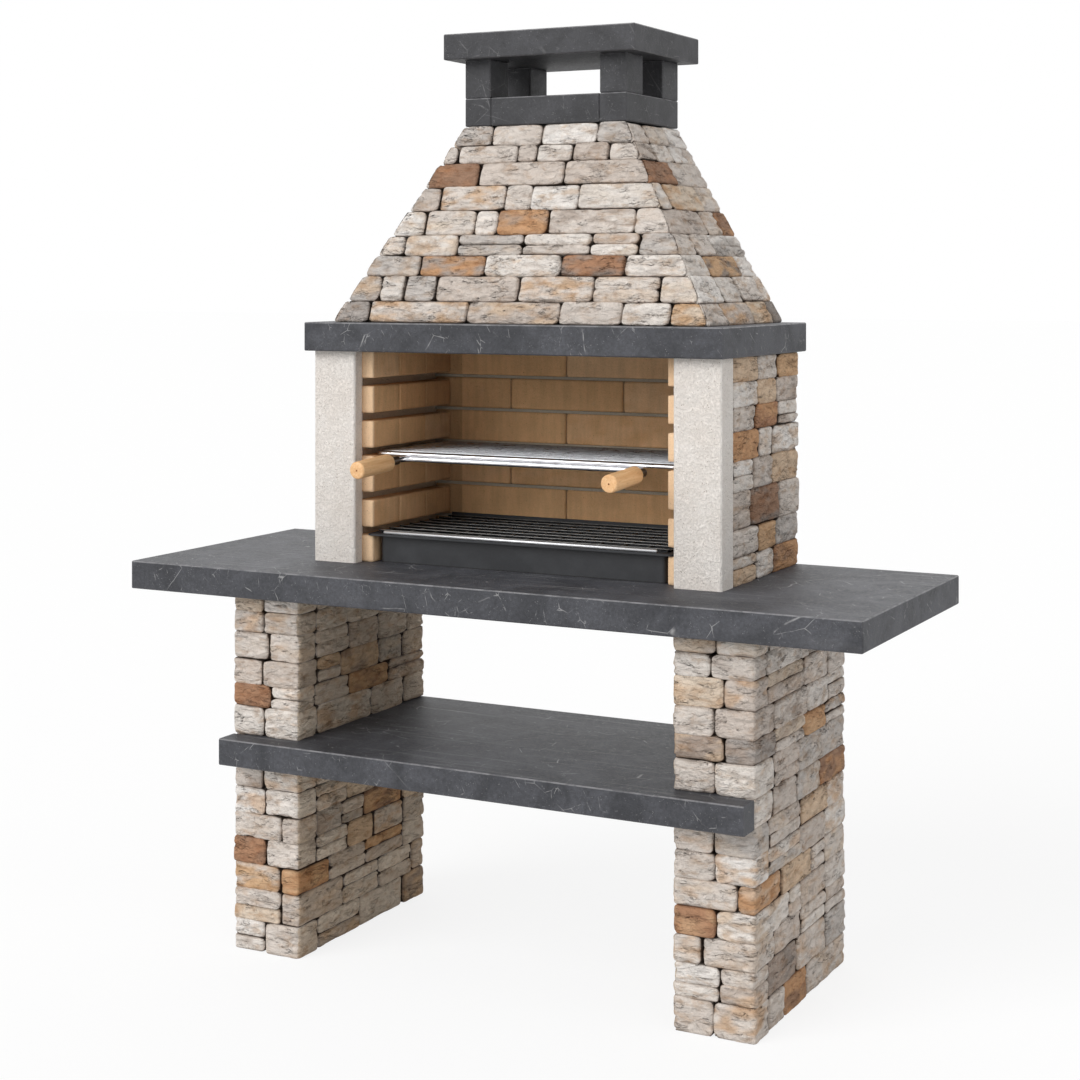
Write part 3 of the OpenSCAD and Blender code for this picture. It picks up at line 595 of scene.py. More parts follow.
@dataclass(frozen=True)
class StoneFinish:
    """Split limestone: its own tone, thin level layers and soft warm stains, with painted shade in hollows, joints,
    under ledges and on the piers' inner sides, and painted highlights on ridges.
    """

    name: str = "split_limestone"
    # painted shade colour for hollows: the low parts of the strokes and of the worn relief
    hollow: Colour = (150, 130, 112)
    # painted highlight colour for the high parts of the strokes
    ridge_highlight: Colour = (246, 242, 238)
    stain: Colour = (214, 188, 160)
    # painted shadow colour for the foot of each ledge
    ledge_shadow: Colour = (132, 112, 96)
    # painted shade colour for the stone sides in the joints
    joint: Colour = (78, 64, 54)
    # painted shade on the piers' inner sides: its colour, and where it stops across and up
    inner_shade: Colour = (239, 230, 216)
    inner_shade_x: float = 0.46
    inner_shade_z: float = 0.85
    layers: float = 92.0

    def ledges(self, bench: NodeBench) -> tuple[Socket, Socket]:
        """Draws the thin level layers.

        Args:
            bench: where the nodes go.

        Returns:
            How far each layer stands out, and 1 along its foot, where the stone material paints a shadow.
        """
        place = bench.bent(bench.place, 30.0, 0.006)
        wave = bench.times(bench.noise(11.0, 2.0, 0.5, place), 4.8)
        rag = bench.times(bench.noise(80.0, 4.0, 0.62, place), 1.2)
        part = bench.math("FRACT", bench.math("ADD", bench.times(bench.split(place)[2], self.layers), wave, rag))
        stand = bench.math("SUBTRACT", 1.0, bench.times(part, bench.ramp(part, 1.0, 0.86)))
        return stand, bench.ramp(bench.math("ABSOLUTE", bench.math("SUBTRACT", part, 0.92)), 0.13, 0.0)

    def material(self) -> Material:
        """Builds the material.

        Returns:
            The material.
        """
        bench = NodeBench(self.name)
        ramp, noise = bench.ramp, bench.noise
        bench.colour = bench.attribute("tint")
        relief = bench.attribute("relief", "Fac")
        lying = bench.bent(bench.stretch((1.0, 1.0, 2.2)), 26.0, 0.012)
        cloud = noise(26.0, 4.0, 0.6)
        strokes = noise(44.0, 6.0, 0.58, lying, 0.6)
        grain = noise(480.0, 3.0, 0.6)
        stand, feet = self.ledges(bench)
        patch = ramp(noise(25.0, 3.0, 0.6, bench.stretch((0.7, 0.7, 2.0))), 0.54, 0.66)
        bench.shade(cloud, 1.05, 1.17)
        bench.stain(self.stain, ramp(noise(23.0, 5.0, 0.65, lying), 0.48, 0.70, 0.0, 0.6))
        # painted shade in the low parts of the strokes bump
        bench.stain(self.hollow, ramp(strokes, 0.47, 0.24, 0.0, 0.34))
        # painted shade in the hollows of the worn relief
        bench.stain(self.hollow, ramp(relief, 0.16, 0.46, 0.0, 0.34))
        # painted highlight on the high parts of the strokes bump
        bench.paint(self.ridge_highlight, ramp(strokes, 0.54, 0.76, 0.0, 0.5), "SOFT_LIGHT")
        # painted shadow along the foot of each ledge
        bench.stain(self.ledge_shadow, bench.times(feet, patch, 0.6))
        # painted shade on the stone sides that face a joint, but not on the mitres
        bench.stain(self.joint, ramp(relief, 0.58, 0.94, 0.0, 0.92))
        # painted shade on the inner, sideways-facing sides of the piers below the worktop
        x, _, z = bench.split(bench.place)
        inner = ramp(bench.math("ABSOLUTE", x), self.inner_shade_x + 0.02, self.inner_shade_x)
        low = ramp(z, self.inner_shade_z + 0.01, self.inner_shade_z)
        sideways = ramp(bench.math("ABSOLUTE", bench.facing()[0]), 0.4, 0.8)
        bench.stain(self.inner_shade, bench.times(inner, low, sideways))
        bench.shade(grain, 0.94, 1.05)
        bench.bump(bench.times(stand, patch), 0.0080, 0.9)
        bench.bump(strokes, 0.0150, 0.95)
        bench.bump(grain, 0.0008, 0.8)
        return bench.finish(bench.spread(cloud, 0.82, 0.95), 0.25)


@dataclass(frozen=True)
class SlateFinish:
    """Dark honed slab: clouds, pale grains, thin straight scratches and long streaks, worn arrises."""

    name: str = "dark_slab"
    dark: Colour = (52, 53, 57)
    light: Colour = (76, 77, 82)
    vein: Colour = (176, 175, 175)
    worn: Colour = (140, 139, 141)
    veins: float = 1.0

    SCRATCHES = ((4.6, 0.009, 28.0, 0.55, 0.55), (11.0, 0.015, -35.0, 0.55, 0.65), (26.0, 0.030, 55.0, 0.56, 0.6))

    def material(self) -> Material:
        """Builds the material.

        Returns:
            The material.
        """
        bench = NodeBench(self.name)
        ramp, noise, times = bench.ramp, bench.noise, bench.times
        mottle = noise(150.0, 5.0, 0.75)
        up = bench.facing("True Normal")[2]
        bench.colour = linear(self.dark)
        bench.paint(self.light, ramp(noise(9.0, 7.0, 0.62, None, 0.8), *NOISE_SPAN))
        bench.shade(mottle, 0.70, 1.32, (0.3, 0.72))
        streak = noise(26.0, 5.0, 0.62, bench.stretch((0.12, 2.6, 0.5)), 0.25)
        lines = ramp(streak, 0.55, 0.77, 0.0, 0.34 * self.veins)
        bench.paint(self.vein, times(lines, ramp(up, 0.6, 0.9, 0.15, 1.0)))
        for scale, width, turn, low, strength in self.SCRATCHES:
            angle = math.radians(turn)
            way = bench.bent(bench.stretch((0.55, 1.5, 1.6), (0.0, angle, angle)), scale * 1.7, 0.05 / scale)
            line = ramp(bench.cells(scale, "DISTANCE_TO_EDGE", way), width, 0.0)
            patch = ramp(noise(scale * 1.3, 3.0, 0.6), low, low + 0.12, 0.0, strength * self.veins)
            bench.paint(self.vein, times(line, patch))
        specks = ramp(bench.cells(260.0), 0.30, 0.10)
        bench.paint(self.vein, times(specks, ramp(noise(90.0, 3.0, 0.7), 0.5, 0.66, 0.0, 0.46)))
        wear_and_highlight = ramp(noise(34.0, 5.0, 0.7), 0.34, 0.6, 0.3, 0.85)
        bench.paint(self.worn, times(bench.edges(), ramp(up, 0.2, 0.5, 0.16, 1.0), wear_and_highlight))
        bench.bump(ramp(noise(46.0, 6.0, 0.7), 0.56, 0.72, 1.0, 0.0), 0.0012, 0.35)
        bench.bump(mottle, 0.0010, 0.7)
        return bench.finish(bench.spread(mottle, 0.46, 0.68), 0.35)


@dataclass(frozen=True)
class CastFinish:
    """Cast stone or concrete with fine aggregate, pits and a rough skin."""

    name: str = "cast_concrete"
    base: Colour = (150, 147, 141)
    dark: Colour = (104, 100, 95)
    pale: Colour = (176, 173, 167)
    pit: float = 0.0012
    fleck: float = 0.5
    inside: Optional[Colour] = None
    inside_y: float = 0.0

    def material(self) -> Material:
        """Builds the material.

        Returns:
            The material.
        """
        bench = NodeBench(self.name)
        ramp, noise, times = bench.ramp, bench.noise, bench.times
        cloud, sand = noise(12.0, 5.0, 0.6), noise(300.0, 4.0, 0.7)
        bench.colour = linear(self.base)
        bench.paint(self.pale, ramp(cloud, 0.3, 0.72, 0.0, 0.5))
        if self.inside is not None:
            bench.paint(self.inside, ramp(bench.split(bench.place)[1], self.inside_y, self.inside_y - 0.004))
        flecks = ramp(bench.cells(210.0), 0.30, 0.14)
        bench.paint(self.dark, times(flecks, ramp(noise(120.0, 2.0), 0.5, 0.62, 0.0, self.fleck)))
        grains = bench.cells(330.0, place=bench.stretch((1.0, 1.3, 0.9)))
        bench.paint(self.pale, ramp(grains, 0.26, 0.12, 0.0, 0.4))
        bench.shade(sand, 0.9, 1.07)
        bench.paint(self.pale, times(bench.edges(), 0.35))
        bench.bump(ramp(noise(170.0, 5.0, 0.7), 0.30, 0.62), self.pit, 0.9)
        bench.bump(sand, 0.0006, 0.8)
        return bench.finish(bench.spread(cloud, 0.84, 0.96), 0.2)


@dataclass(frozen=True)
class FirebrickFinish:
    """Pressed firebrick: warm tan, each brick a little different, with dark specks, painted shade deeper in and
    painted light on the fronts.
    """

    name: str = "firebrick"
    speck: Colour = (128, 88, 54)
    # pale: real pale sand, and the painted light on the bricks' front ends
    pale: Colour = (248, 216, 180)
    joint: Colour = (206, 180, 148)
    front_y: float = BRICK_FRONT
    wall_y: float = 0.2
    side_x: float = 0.325
    # how dark the painted shade gets deep in the side walls
    soot_and_shade: float = 0.72

    def material(self) -> Material:
        """Builds the material.

        Returns:
            The material.
        """
        bench = NodeBench(self.name)
        ramp, noise, times = bench.ramp, bench.noise, bench.times
        bench.colour = bench.attribute("tint")
        cloud, sand = noise(18.0, 5.0, 0.6), noise(380.0, 4.0, 0.65)
        bench.shade(cloud, 0.95, 1.05)
        bench.shade(noise(70.0, 4.0, 0.6, bench.stretch((1.0, 1.0, 0.12))), 0.93, 1.06)
        x, depth, _ = bench.split(bench.place)
        front = self.front_y
        # painted shade, darker deeper into the firebox
        bench.shade(depth, 1.0, 0.90, (front + 0.04, front + 0.30))
        # painted shade on the side walls, darker deeper in
        across = ramp(bench.math("ABSOLUTE", x), self.side_x, self.side_x + 0.005)
        bench.shade(times(across, ramp(depth, front + 0.12, front + 0.32)), 1.0, self.soot_and_shade, (0.0, 1.0))
        joint = ramp(bench.attribute("relief"), 0.35, 0.8, 0.0, 0.9)
        bench.paint(self.joint, times(joint, ramp(depth, self.wall_y, self.wall_y + 0.01)))
        # painted light on the bricks' front ends
        bench.paint(self.pale, ramp(depth, front + 0.008, front + 0.002, 0.0, 0.7))
        dots = ramp(bench.cells(190.0), 0.26, 0.12)
        bench.paint(self.speck, times(dots, ramp(noise(85.0, 2.0), 0.52, 0.64, 0.0, 0.5)))
        bench.paint(self.pale, ramp(sand, 0.55, 0.8, 0.0, 0.35))
        bench.shade(sand, 0.9, 1.04, (0.25, 0.6))
        bench.bump(ramp(noise(120.0, 5.0, 0.7), 0.28, 0.6), 0.0009, 0.7)
        bench.bump(sand, 0.0005, 0.7)
        return bench.finish(bench.spread(cloud, 0.82, 0.94), 0.2)


@dataclass(frozen=True)
class WireFinish:
    """Drawn or plated wire, slightly streaked and dull in spots, with painted highlights on the end rods and tops.
    """

    name: str
    bright: Colour
    dull: Colour
    low: float
    high: float
    metal: float = 1.0
    # front: the painted highlight colour on the front and back rods
    front: Optional[Colour] = None
    front_y: float = 0.0
    back_y: float = 9.0
    # share and colour of the painted highlight on upward-facing tops
    wear_and_highlight: float = 0.0
    top_highlight: Colour = (170, 168, 164)
    soft: float = 0.0005

    def material(self) -> Material:
        """Builds the material.

        Returns:
            The material.
        """
        bench = NodeBench(self.name)
        ramp = bench.ramp
        cloud = bench.noise(34.0, 5.0, 0.6)
        drawn = bench.noise(900.0, 3.0, 0.6, bench.stretch((0.06, 1.0, 1.0)))
        bench.colour = linear(self.bright)
        bench.paint(self.dull, ramp(cloud, 0.42, 0.72))
        # painted highlight along the front and back rods
        if self.front is not None:
            depth = bench.split(bench.place)[1]
            near = ramp(depth, self.front_y + self.soft, self.front_y - self.soft)
            far = ramp(depth, self.back_y - self.soft, self.back_y + self.soft)
            bench.paint(self.front, bench.math("MAXIMUM", near, far))
        # painted highlight on upward-facing tops
        if self.wear_and_highlight:
            bench.paint(self.top_highlight, ramp(bench.facing()[2], 0.15, 0.7, 0.0, self.wear_and_highlight))
        bench.shade(drawn, 0.92, 1.05)
        bench.bump(drawn, 0.0001, 0.5)
        rough = bench.math("ADD", ramp(cloud, 0.35, 0.7, self.low, self.high), bench.spread(drawn, 0.0, 0.05))
        return bench.finish(rough, metal=self.metal)


@dataclass(frozen=True)
class BeechFinish:
    """Turned beech: long grain along the handle and short dark rays."""

    name: str = "turned_beech"
    pale: Colour = (243, 199, 149)
    deep: Colour = (226, 175, 122)
    ray: Colour = (150, 98, 56)

    def material(self) -> Material:
        """Builds the material.

        Returns:
            The material.
        """
        bench = NodeBench(self.name)
        grain = bench.noise(150.0, 5.0, 0.6, bench.stretch((1.0, 0.06, 1.0)), 0.5)
        cloud = bench.noise(30.0, 4.0, 0.5, bench.stretch((1.0, 0.3, 1.0)))
        flecks = bench.noise(620.0, 2.0, 0.5, bench.stretch((1.0, 0.12, 1.0)))
        bench.colour = linear(self.pale)
        bench.paint(self.deep, bench.ramp(grain, 0.32, 0.68))
        bench.paint(self.ray, bench.ramp(flecks, 0.62, 0.74, 0.0, 0.6))
        bench.shade(cloud, 0.92, 1.08)
        bench.bump(grain, 0.0003, 0.6)
        return bench.finish(bench.spread(grain, 0.42, 0.58), 0.4)


@dataclass(frozen=True)
class PanFinish:
    """Black stove paint on folded sheet: matt, with dust, worn patches and slight waviness."""

    name: str = "stove_paint"
    black: Colour = (38, 39, 42)
    worn: Colour = (70, 71, 74)

    def material(self) -> Material:
        """Builds the material.

        Returns:
            The material.
        """
        bench = NodeBench(self.name)
        cloud, dust = bench.noise(14.0, 5.0, 0.6), bench.noise(420.0, 3.0, 0.6)
        bench.colour = linear(self.black)
        bench.paint(self.worn, bench.ramp(cloud, 0.35, 0.75, 0.0, 0.35))
        bench.shade(dust, 0.9, 1.1)
        bench.paint(self.worn, bench.ramp(dust, 0.68, 0.8, 0.0, 0.3))
        bench.bump(cloud, 0.004, 0.12)
        bench.bump(dust, 0.0002, 0.6)
        return bench.finish(bench.spread(cloud, 0.42, 0.56), 0.45)


@dataclass(frozen=True)
class Accent:
    """A stone with a colour of its own: where it is, its tones, and how strong the last is."""

    place: Place
    tones: list[Tone]
    share: float = 0.85

    @classmethod
    def rows(cls, *rows: tuple) -> list["Accent"]:
        """Reads rows of x, y, z, the names of one or two tones, and at times the share."""
        return [cls(row[:3], [Tone[name] for name in row[3].split()], *row[4:]) for row in rows]


ACCENTS = {
    "pier_lower_left": Accent.rows(
        (-0.58, -0.28, 0.22, "RUST BROWN"), (-0.53, -0.28, 0.16, "OCHRE LIMESTONE"),
        (-0.47, -0.28, 0.16, "ORANGE OCHRE"), (-0.53, -0.28, 0.08, "SAND OCHRE", 0.5),
        (-0.44, 0.11, 0.26, "OCHRE BROWN"), (-0.44, -0.02, 0.22, "TAN"), (-0.44, 0.02, 0.17, "OCHRE"),
        (-0.44, -0.11, 0.03, "GREIGE TAN"), (-0.44, 0.22, 0.04, "BROWN_GREY TAN")),
    "pier_upper_left": Accent.rows(
        (-0.57, -0.28, 0.55, "RUST BROWN"), (-0.44, -0.16, 0.62, "TAN"),
        (-0.44, 0.01, 0.56, "OCHRE BROWN", 0.5), (-0.44, -0.03, 0.61, "TAN BROWN_GREY")),
    "pier_lower_right": Accent.rows(
        (0.6, -0.28, 0.27, "ORANGE SAND", 0.5), (0.49, -0.28, 0.21, "RUST OCHRE", 0.5),
        (0.58, -0.28, 0.1, "GREIGE OCHRE", 0.7), (0.62, 0.07, 0.38, "TAN"), (0.62, -0.01, 0.29, "TAN"),
        (0.62, -0.13, 0.09, "BROWN_GREY SMOKE"), (0.62, -0.05, 0.03, "ORANGE BROWN")),
    "pier_upper_right": Accent.rows(
        (0.5, -0.28, 0.66, "SAND OCHRE", 0.5), (0.58, -0.28, 0.65, "GREIGE OCHRE", 0.6),
        (0.5, -0.28, 0.55, "BROWN_GREY TAN"), (0.59, -0.28, 0.56, "GREY BROWN_GREY"),
        (0.62, 0.07, 0.54, "ORANGE OCHRE")),
    "shelf_cover_right": Accent.rows((0.62, 0.12, 0.43, "BROWN ORANGE")),
    "side_stones_right": Accent.rows(
        (0.49, 0.03, 1.3, "TAN"), (0.49, 0.26, 1.3, "OCHRE"), (0.49, 0.06, 1.25, "TAN"),
        (0.49, 0.13, 1.19, "RUST ORANGE"), (0.49, -0.05, 1.15, "ORANGE"), (0.49, 0.26, 1.08, "TAN"),
        (0.49, 0.09, 1.0, "BROWN SMOKE"), (0.49, 0.09, 0.93, "OCHRE"), (0.49, 0.16, 0.88, "ORANGE BROWN"),
        (0.49, -0.03, 0.87, "TAN")),
    "hood_stones_front": Accent.rows(
        (-0.22, -0.01, 1.71, "BROWN RUST"), (-0.02, -0.05, 1.61, "ORANGE BROWN_GREY", 0.6),
        (-0.18, -0.08, 1.51, "ORANGE GREY"), (0.17, -0.08, 1.52, "RUST SMOKE"),
        (-0.12, -0.03, 1.66, "LIMESTONE OCHRE"), (-0.24, -0.12, 1.41, "LIMESTONE OCHRE"),
        (-0.01, -0.11, 1.41, "GREIGE TAN"), (0.09, -0.1, 1.47, "LIMESTONE OCHRE"),
        (0.41, -0.11, 1.42, "OCHRE SAND"), (-0.42, -0.12, 1.41, "GREY")),
    "hood_stones_right": Accent.rows(
        (0.26, 0.06, 1.72, "BROWN RUST"), (0.29, 0.12, 1.67, "SAND OCHRE"), (0.33, 0.29, 1.61, "BROWN ORANGE"),
        (0.38, 0.15, 1.52, "OCHRE SMOKE"), (0.44, 0.05, 1.42, "GREIGE OCHRE"), (0.44, 0.2, 1.41, "SAND OCHRE"),
        (0.44, 0.32, 1.41, "SMOKE")),
}


@dataclass
class Palette:
    """The shares of the tones that a wall's stones are drawn from, and of the stains on them."""

    shares: tuple[float, ...]
    stain_shares: tuple[float, ...]
    tones: tuple[Tone, ...] = (Tone.CHALK, Tone.IVORY, Tone.LIMESTONE, Tone.GREIGE, Tone.PEWTER, Tone.SAND, Tone.TAN)
    stains: tuple[Tone, ...] = (Tone.GREIGE, Tone.SAND, Tone.TAN, Tone.OCHRE, Tone.PEWTER, Tone.BROWN_GREY)
    spread: float = 0.04

    def pick(self, draw: np.random.Generator) -> tuple[Array, Array]:
        """Draws the two tones of one stone.

        Args:
            draw: the random numbers.

        Returns:
            Its main colour and its stain.
        """
        first, second = (draw.choice(len(shares), p=np.array(shares) / sum(shares))
                         for shares in (self.shares, self.stain_shares))
        light = 1.0 + draw.uniform(-self.spread, self.spread, 2)
        return self.tones[first].rgb() * light[0], self.stains[second].rgb() * light[1]


HOOD_STONES = Palette((0.20, 0.30, 0.30, 0.12, 0.08, 0.0, 0.0), (0.30, 0.14, 0.24, 0.12, 0.12, 0.08))
PIER_STONES = Palette((0.04, 0.22, 0.36, 0.26, 0.06, 0.06, 0.0), (0.18, 0.12, 0.32, 0.18, 0.06, 0.14))
MIXED_STONES = Palette((0.14, 0.24, 0.28, 0.20, 0.08, 0.0, 0.06), (0.20, 0.12, 0.28, 0.22, 0.08, 0.10))
FIREBRICKS = Palette((0.35, 0.3, 0.2, 0.15), (0.5, 0.5), (Tone.BISCUIT, Tone.TOAST, Tone.STRAW, Tone.CLAY),
                     (Tone.TOAST, Tone.CLAY), 0.03)


def placed(name: str, data: bpy.types.ID) -> Piece:
    """Puts a mesh, a lamp or a camera into the scene."""
    bpy.context.collection.objects.link(bpy.data.objects.new(name, data))
    return bpy.data.objects[name]


def shaped(name: str, points: list, faces: list, smooth: list[bool], material: Material) -> Piece:
    """Makes a piece from points and faces.

    Args:
        name: its name.
        points: its points.
        faces: each face's point numbers.
        smooth: whether each face is rounded.
        material: its material.

    Returns:
        The piece.
    """
    mesh = bpy.data.meshes.new(name)
    mesh.from_pydata(points, [], faces)
    mesh.polygons.foreach_set("use_smooth", smooth)
    mesh.materials.append(material)
    LOG.info("%s: %d points, %d faces", name, len(points), len(faces))
    return placed(name, mesh)


def dress(material: Material, *nodes: str) -> None:
    """Gives carried-over CAD nodes a better material.

    Args:
        material: the new material.
        nodes: their names.
    """
    for node in nodes:
        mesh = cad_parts[node].data
        if not mesh.materials:
            mesh.materials.append(material)
        for number in range(len(mesh.materials)):
            mesh.materials[number] = material
        LOG.info("%s: %s", node, material.name)


@dataclass
class StoneWall:
    """One CAD node made of separate stones or bricks, dressed as one piece."""

    node: str
    slot: str
    seed: int
    material: Material
    open_sides: tuple[Side, ...]
    palette: Palette
    relief: Relief = Relief()
    axes: Array = field(default_factory=lambda: np.eye(3))
    mitre_fill: float = 0.0

    OPEN_WITHIN = 0.016
    PATCH = 0.062
    TAKEN = 9.0
    APART = 37.7
    BARE = (0.25, 0.8)
    MITRED = (0.2, 0.45)

    def open_to(self, block: Block, low: Array, high: Array) -> set[Side]:
        """Tells which sides of a block can be seen, by the wall's lowest and highest corner."""
        gaps = {-1: block.low - low, 1: high - block.high}
        return {side for side in self.open_sides if gaps[side.value[1]][side.value[0]] < self.OPEN_WITHIN}

    def chosen(self, blocks: list[Block]) -> dict[int, Accent]:
        """Gives each accent to the block nearest to its place.

        Args:
            blocks: the wall's blocks.

        Returns:
            The accents by block number.
        """
        given: dict[int, Accent] = {}
        for accent in ACCENTS.get(self.node, ()):
            spot = self.axes @ np.array(accent.place)
            away = [np.linalg.norm(np.maximum(np.maximum(block.low - spot, spot - block.high), 0.0))
                    + 0.1 * np.linalg.norm(block.middle - spot) + (self.TAKEN if number in given else 0.0)
                    for number, block in enumerate(blocks)]
            given[int(np.argmin(away))] = accent
        return given

    def worn(self, block: Block, seen: set[Side], aims: Array, number: int) -> tuple[Array, Array]:
        """Wears the surface of one block.

        Args:
            block: the block.
            seen: its open sides.
            aims: its grid's points.
            number: picks the pattern.

        Returns:
            The worn points, and how hollow each is, rising to 1 on sides that face a joint; the stone material
            paints shade by it.
        """
        form = self.relief
        points, outward = block.skin(aims, form)
        bare, mitred = np.zeros(len(points)), np.zeros(len(points))
        for side in seen:
            facing = side.faced(outward)
            bare = np.maximum(bare, eased(facing, *self.BARE))
            if self.mitre_fill:
                mitred = np.maximum(mitred, eased(-facing, *self.MITRED))
        away = self.APART * np.array([number % 7, number % 5, number % 11])
        spot = points / form.grain * np.array([1.0, 1.0, form.flatten]) + away + self.seed
        bent = spot + 0.55 * np.stack([smooth(spot * 0.9, seed) for seed in (11, 12, 13)], 1)
        swell = 0.5 - 0.5 * smooth(bent * 0.75, 21)
        middle = smooth(bent * 1.2, 22)
        crease = np.exp(-(middle / 0.08) ** 2) * eased(smooth(spot * 0.7, 23), 0.0, 0.4)
        tilt = bent[:, 2] * 0.46 + 0.6 * smooth(spot * np.array([0.5, 0.5, 0.2]), 24)
        saw = tilt - np.floor(tilt)
        ledge = saw * eased(saw, 1.0, 0.88) * eased(smooth(spot * 0.5 + 3.3, 25), -0.15, 0.3)
        grit = 0.5 - 0.5 * cloudy(bent * 3.4, 26, 2)
        edge = np.maximum(block.depth(points, form.arris * 3.0, form.corner)[0], 0.0)
        sunk = form.swell * swell + form.ledge * ledge + form.crease * crease + form.grit * grit
        sunk = sunk * (form.joint_share + (1.0 - form.joint_share) * bare) + (form.pillow * edge - form.proud) * bare
        # relief mask, which the stone material turns into painted shade: hollows on open faces, and the sides that
        # face a joint, not mitres
        hollow = np.clip(0.25 * swell + 0.55 * ledge + 0.6 * crease + 0.15 * grit, 0.0, 1.0)
        return points - outward * sunk[:, None], 0.5 * hollow * bare + (1.0 - np.maximum(bare, mitred))

    def coloured(self, spots: Array, number: int, accent: Optional[Accent]) -> Array:
        """Tints the points of one block.

        Args:
            spots: its points.
            number: its number.
            accent: what it was given.

        Returns:
            A linear colour for each point.
        """
        draw = np.random.default_rng(self.seed * 1000 + number)
        main, stain = self.palette.pick(draw)
        share = draw.uniform(0.0, 0.8)
        if accent is not None:
            main, share = accent.tones[0].rgb(), accent.share
            stain = accent.tones[-1].rgb() * (1.0 if len(accent.tones) > 1 else 1.12)
        patch = cloudy(spots * (np.array([1.0, 1.0, 2.3]) / self.PATCH) + 5.3 * number, 41 + self.seed, 3)
        part = eased(patch, -0.15, 0.35)[:, None] * share
        return main * (1.0 - part) + stain * part

    def build(self) -> None:
        """Builds the wall, which stands for its CAD node."""
        blocks = BlockReader(self.node, self.axes).blocks(self.relief.refill)
        low = np.min([block.low for block in blocks], axis=0)
        high = np.max([block.high for block in blocks], axis=0)
        given = self.chosen(blocks)
        points, faces, tints, hollows = [], [], [], []
        start = 0
        for number, block in enumerate(blocks):
            seen = self.open_to(block, low, high)
            block.face_joints(seen, self.mitre_fill)
            grid = GridBox(block, self.relief, seen)
            own = grid.faces()
            used = np.unique(np.concatenate([np.array(face) for face in own]))
            back = np.full(len(grid.places), -1)
            back[used] = np.arange(len(used)) + start
            worn, hollow = self.worn(block, seen, grid.places[used], number)
            points.append(worn)
            hollows.append(hollow)
            tints.append(self.coloured(worn, number, given.get(number)))
            faces.extend([back[np.array(face)].tolist() for face in own])
            start += len(used)
        spots = np.concatenate(points) @ self.axes
        spots[:, 2] = np.maximum(spots[:, 2], 0.0)
        colours = np.column_stack([np.concatenate(tints), np.ones(start)])
        piece = shaped(self.node + "_dressed", spots.tolist(), faces, [True] * len(faces), self.material)
        layers = piece.data.attributes
        layers.new("tint", "FLOAT_COLOR", "POINT").data.foreach_set("color", colours.ravel())
        layers.new("relief", "FLOAT", "POINT").data.foreach_set("value", np.concatenate(hollows))
        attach(piece, "masonry")
        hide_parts(self.node)


@dataclass
class Piers:
    """The two stone piers, below and above the shelf, with the thin covers at the shelf's ends."""

    stone: Material

    def build(self) -> None:
        """Builds the piers and the covers."""
        for seed, (height, hand) in enumerate(product(("lower", "upper"), ("left", "right")), 3):
            StoneWall(f"pier_{height}_{hand}", "pier_stone", seed, self.stone, ROUND_PIER, PIER_STONES).build()
        for seed, outer in enumerate((Side.LEFT, Side.RIGHT), 8):
            StoneWall(f"shelf_cover_{outer.name.lower()}", "pier_stone", seed, self.stone,
                      (outer, Side.FRONT, Side.BACK), PIER_STONES).build()


@dataclass
class Firebox:
    """The firebox: its columns, panels, stone facing and firebrick lining."""

    stone: Material
    brick: Material
    column: Material
    cast: Material
    lining: Material
    mortar: Material

    def build(self) -> None:
        """Builds the facing and the bricks, and dresses the rest."""
        for seed, outer in enumerate((Side.LEFT, Side.RIGHT), 11):
            StoneWall(f"side_stones_{outer.name.lower()}", "wall_stone", seed, self.stone, (outer, Side.BACK),
                      MIXED_STONES).build()
        level = (Side.FRONT, Side.UNDER, Side.TOP)
        for seed, (name, sides) in enumerate((
                ("left", (Side.RIGHT, *level)), ("right", (Side.LEFT, *level)), ("back", (Side.FRONT,))), 14):
            StoneWall(f"firebricks_{name}", "firebrick", seed, self.brick, sides, FIREBRICKS, PRESSED_BRICK).build()
        dress(self.column, "jamb_left", "jamb_right")
        dress(self.lining, "side_panel_left", "side_panel_right")
        dress(self.cast, "back_panel")
        dress(self.mortar, "back_mortar")


@dataclass
class Hood:
    """The sloping hood: a cast shell with stones on its front and both sides."""

    stone: Material
    cast: Material
    height: float = 0.440
    front_run: float = 0.150
    side_run: float = 0.2575

    def build(self) -> None:
        """Builds the stones and dresses the shell."""
        for seed, side, run in ((21, Side.FRONT, self.front_run), (22, Side.RIGHT, self.side_run),
                                (23, Side.LEFT, self.side_run)):
            lean = math.atan2(run, self.height)
            across, way = side.value
            axes = np.eye(3)
            axes[2, 2] = axes[across, across] = math.cos(lean)
            axes[across, 2], axes[2, across] = way * math.sin(lean), -way * math.sin(lean)
            sides = (side,) if side is Side.FRONT else (side, Side.BACK)
            StoneWall(f"hood_stones_{side.name.lower()}", "hood_stone", seed, self.stone, sides, HOOD_STONES,
                      axes=axes, mitre_fill=MITRE_FILL).build()
        dress(self.cast, "hood_shell")


@dataclass
class Slabs:
    """The worktop, the shelf, the lintel slab and the chimney's beams, posts and cap."""

    slate: Material
    chimney: Material

    def build(self) -> None:
        """Dresses every slab."""
        dress(self.slate, "worktop", "shelf_slab", "lintel_slab")
        dress(self.chimney, "cap_slab", *(f"crown_beam_{name}" for name in ("front", "back", "left", "right")),
              *(f"post_{depth}_{hand}" for depth, hand in product(("front", "back"), ("left", "right"))))


@dataclass
class CookingGrill:
    """The sliding grill: its wires, bent bar, collars and wooden handles."""

    wire: Material
    bar: Material
    collar: Material
    wood: Material

    def build(self) -> None:
        """Dresses the grill."""
        dress(self.wire, "grill_grid")
        dress(self.bar, "grill_handle_bar")
        dress(self.collar, "ferrule_left", "ferrule_right")
        dress(self.wood, "handle_left", "handle_right")


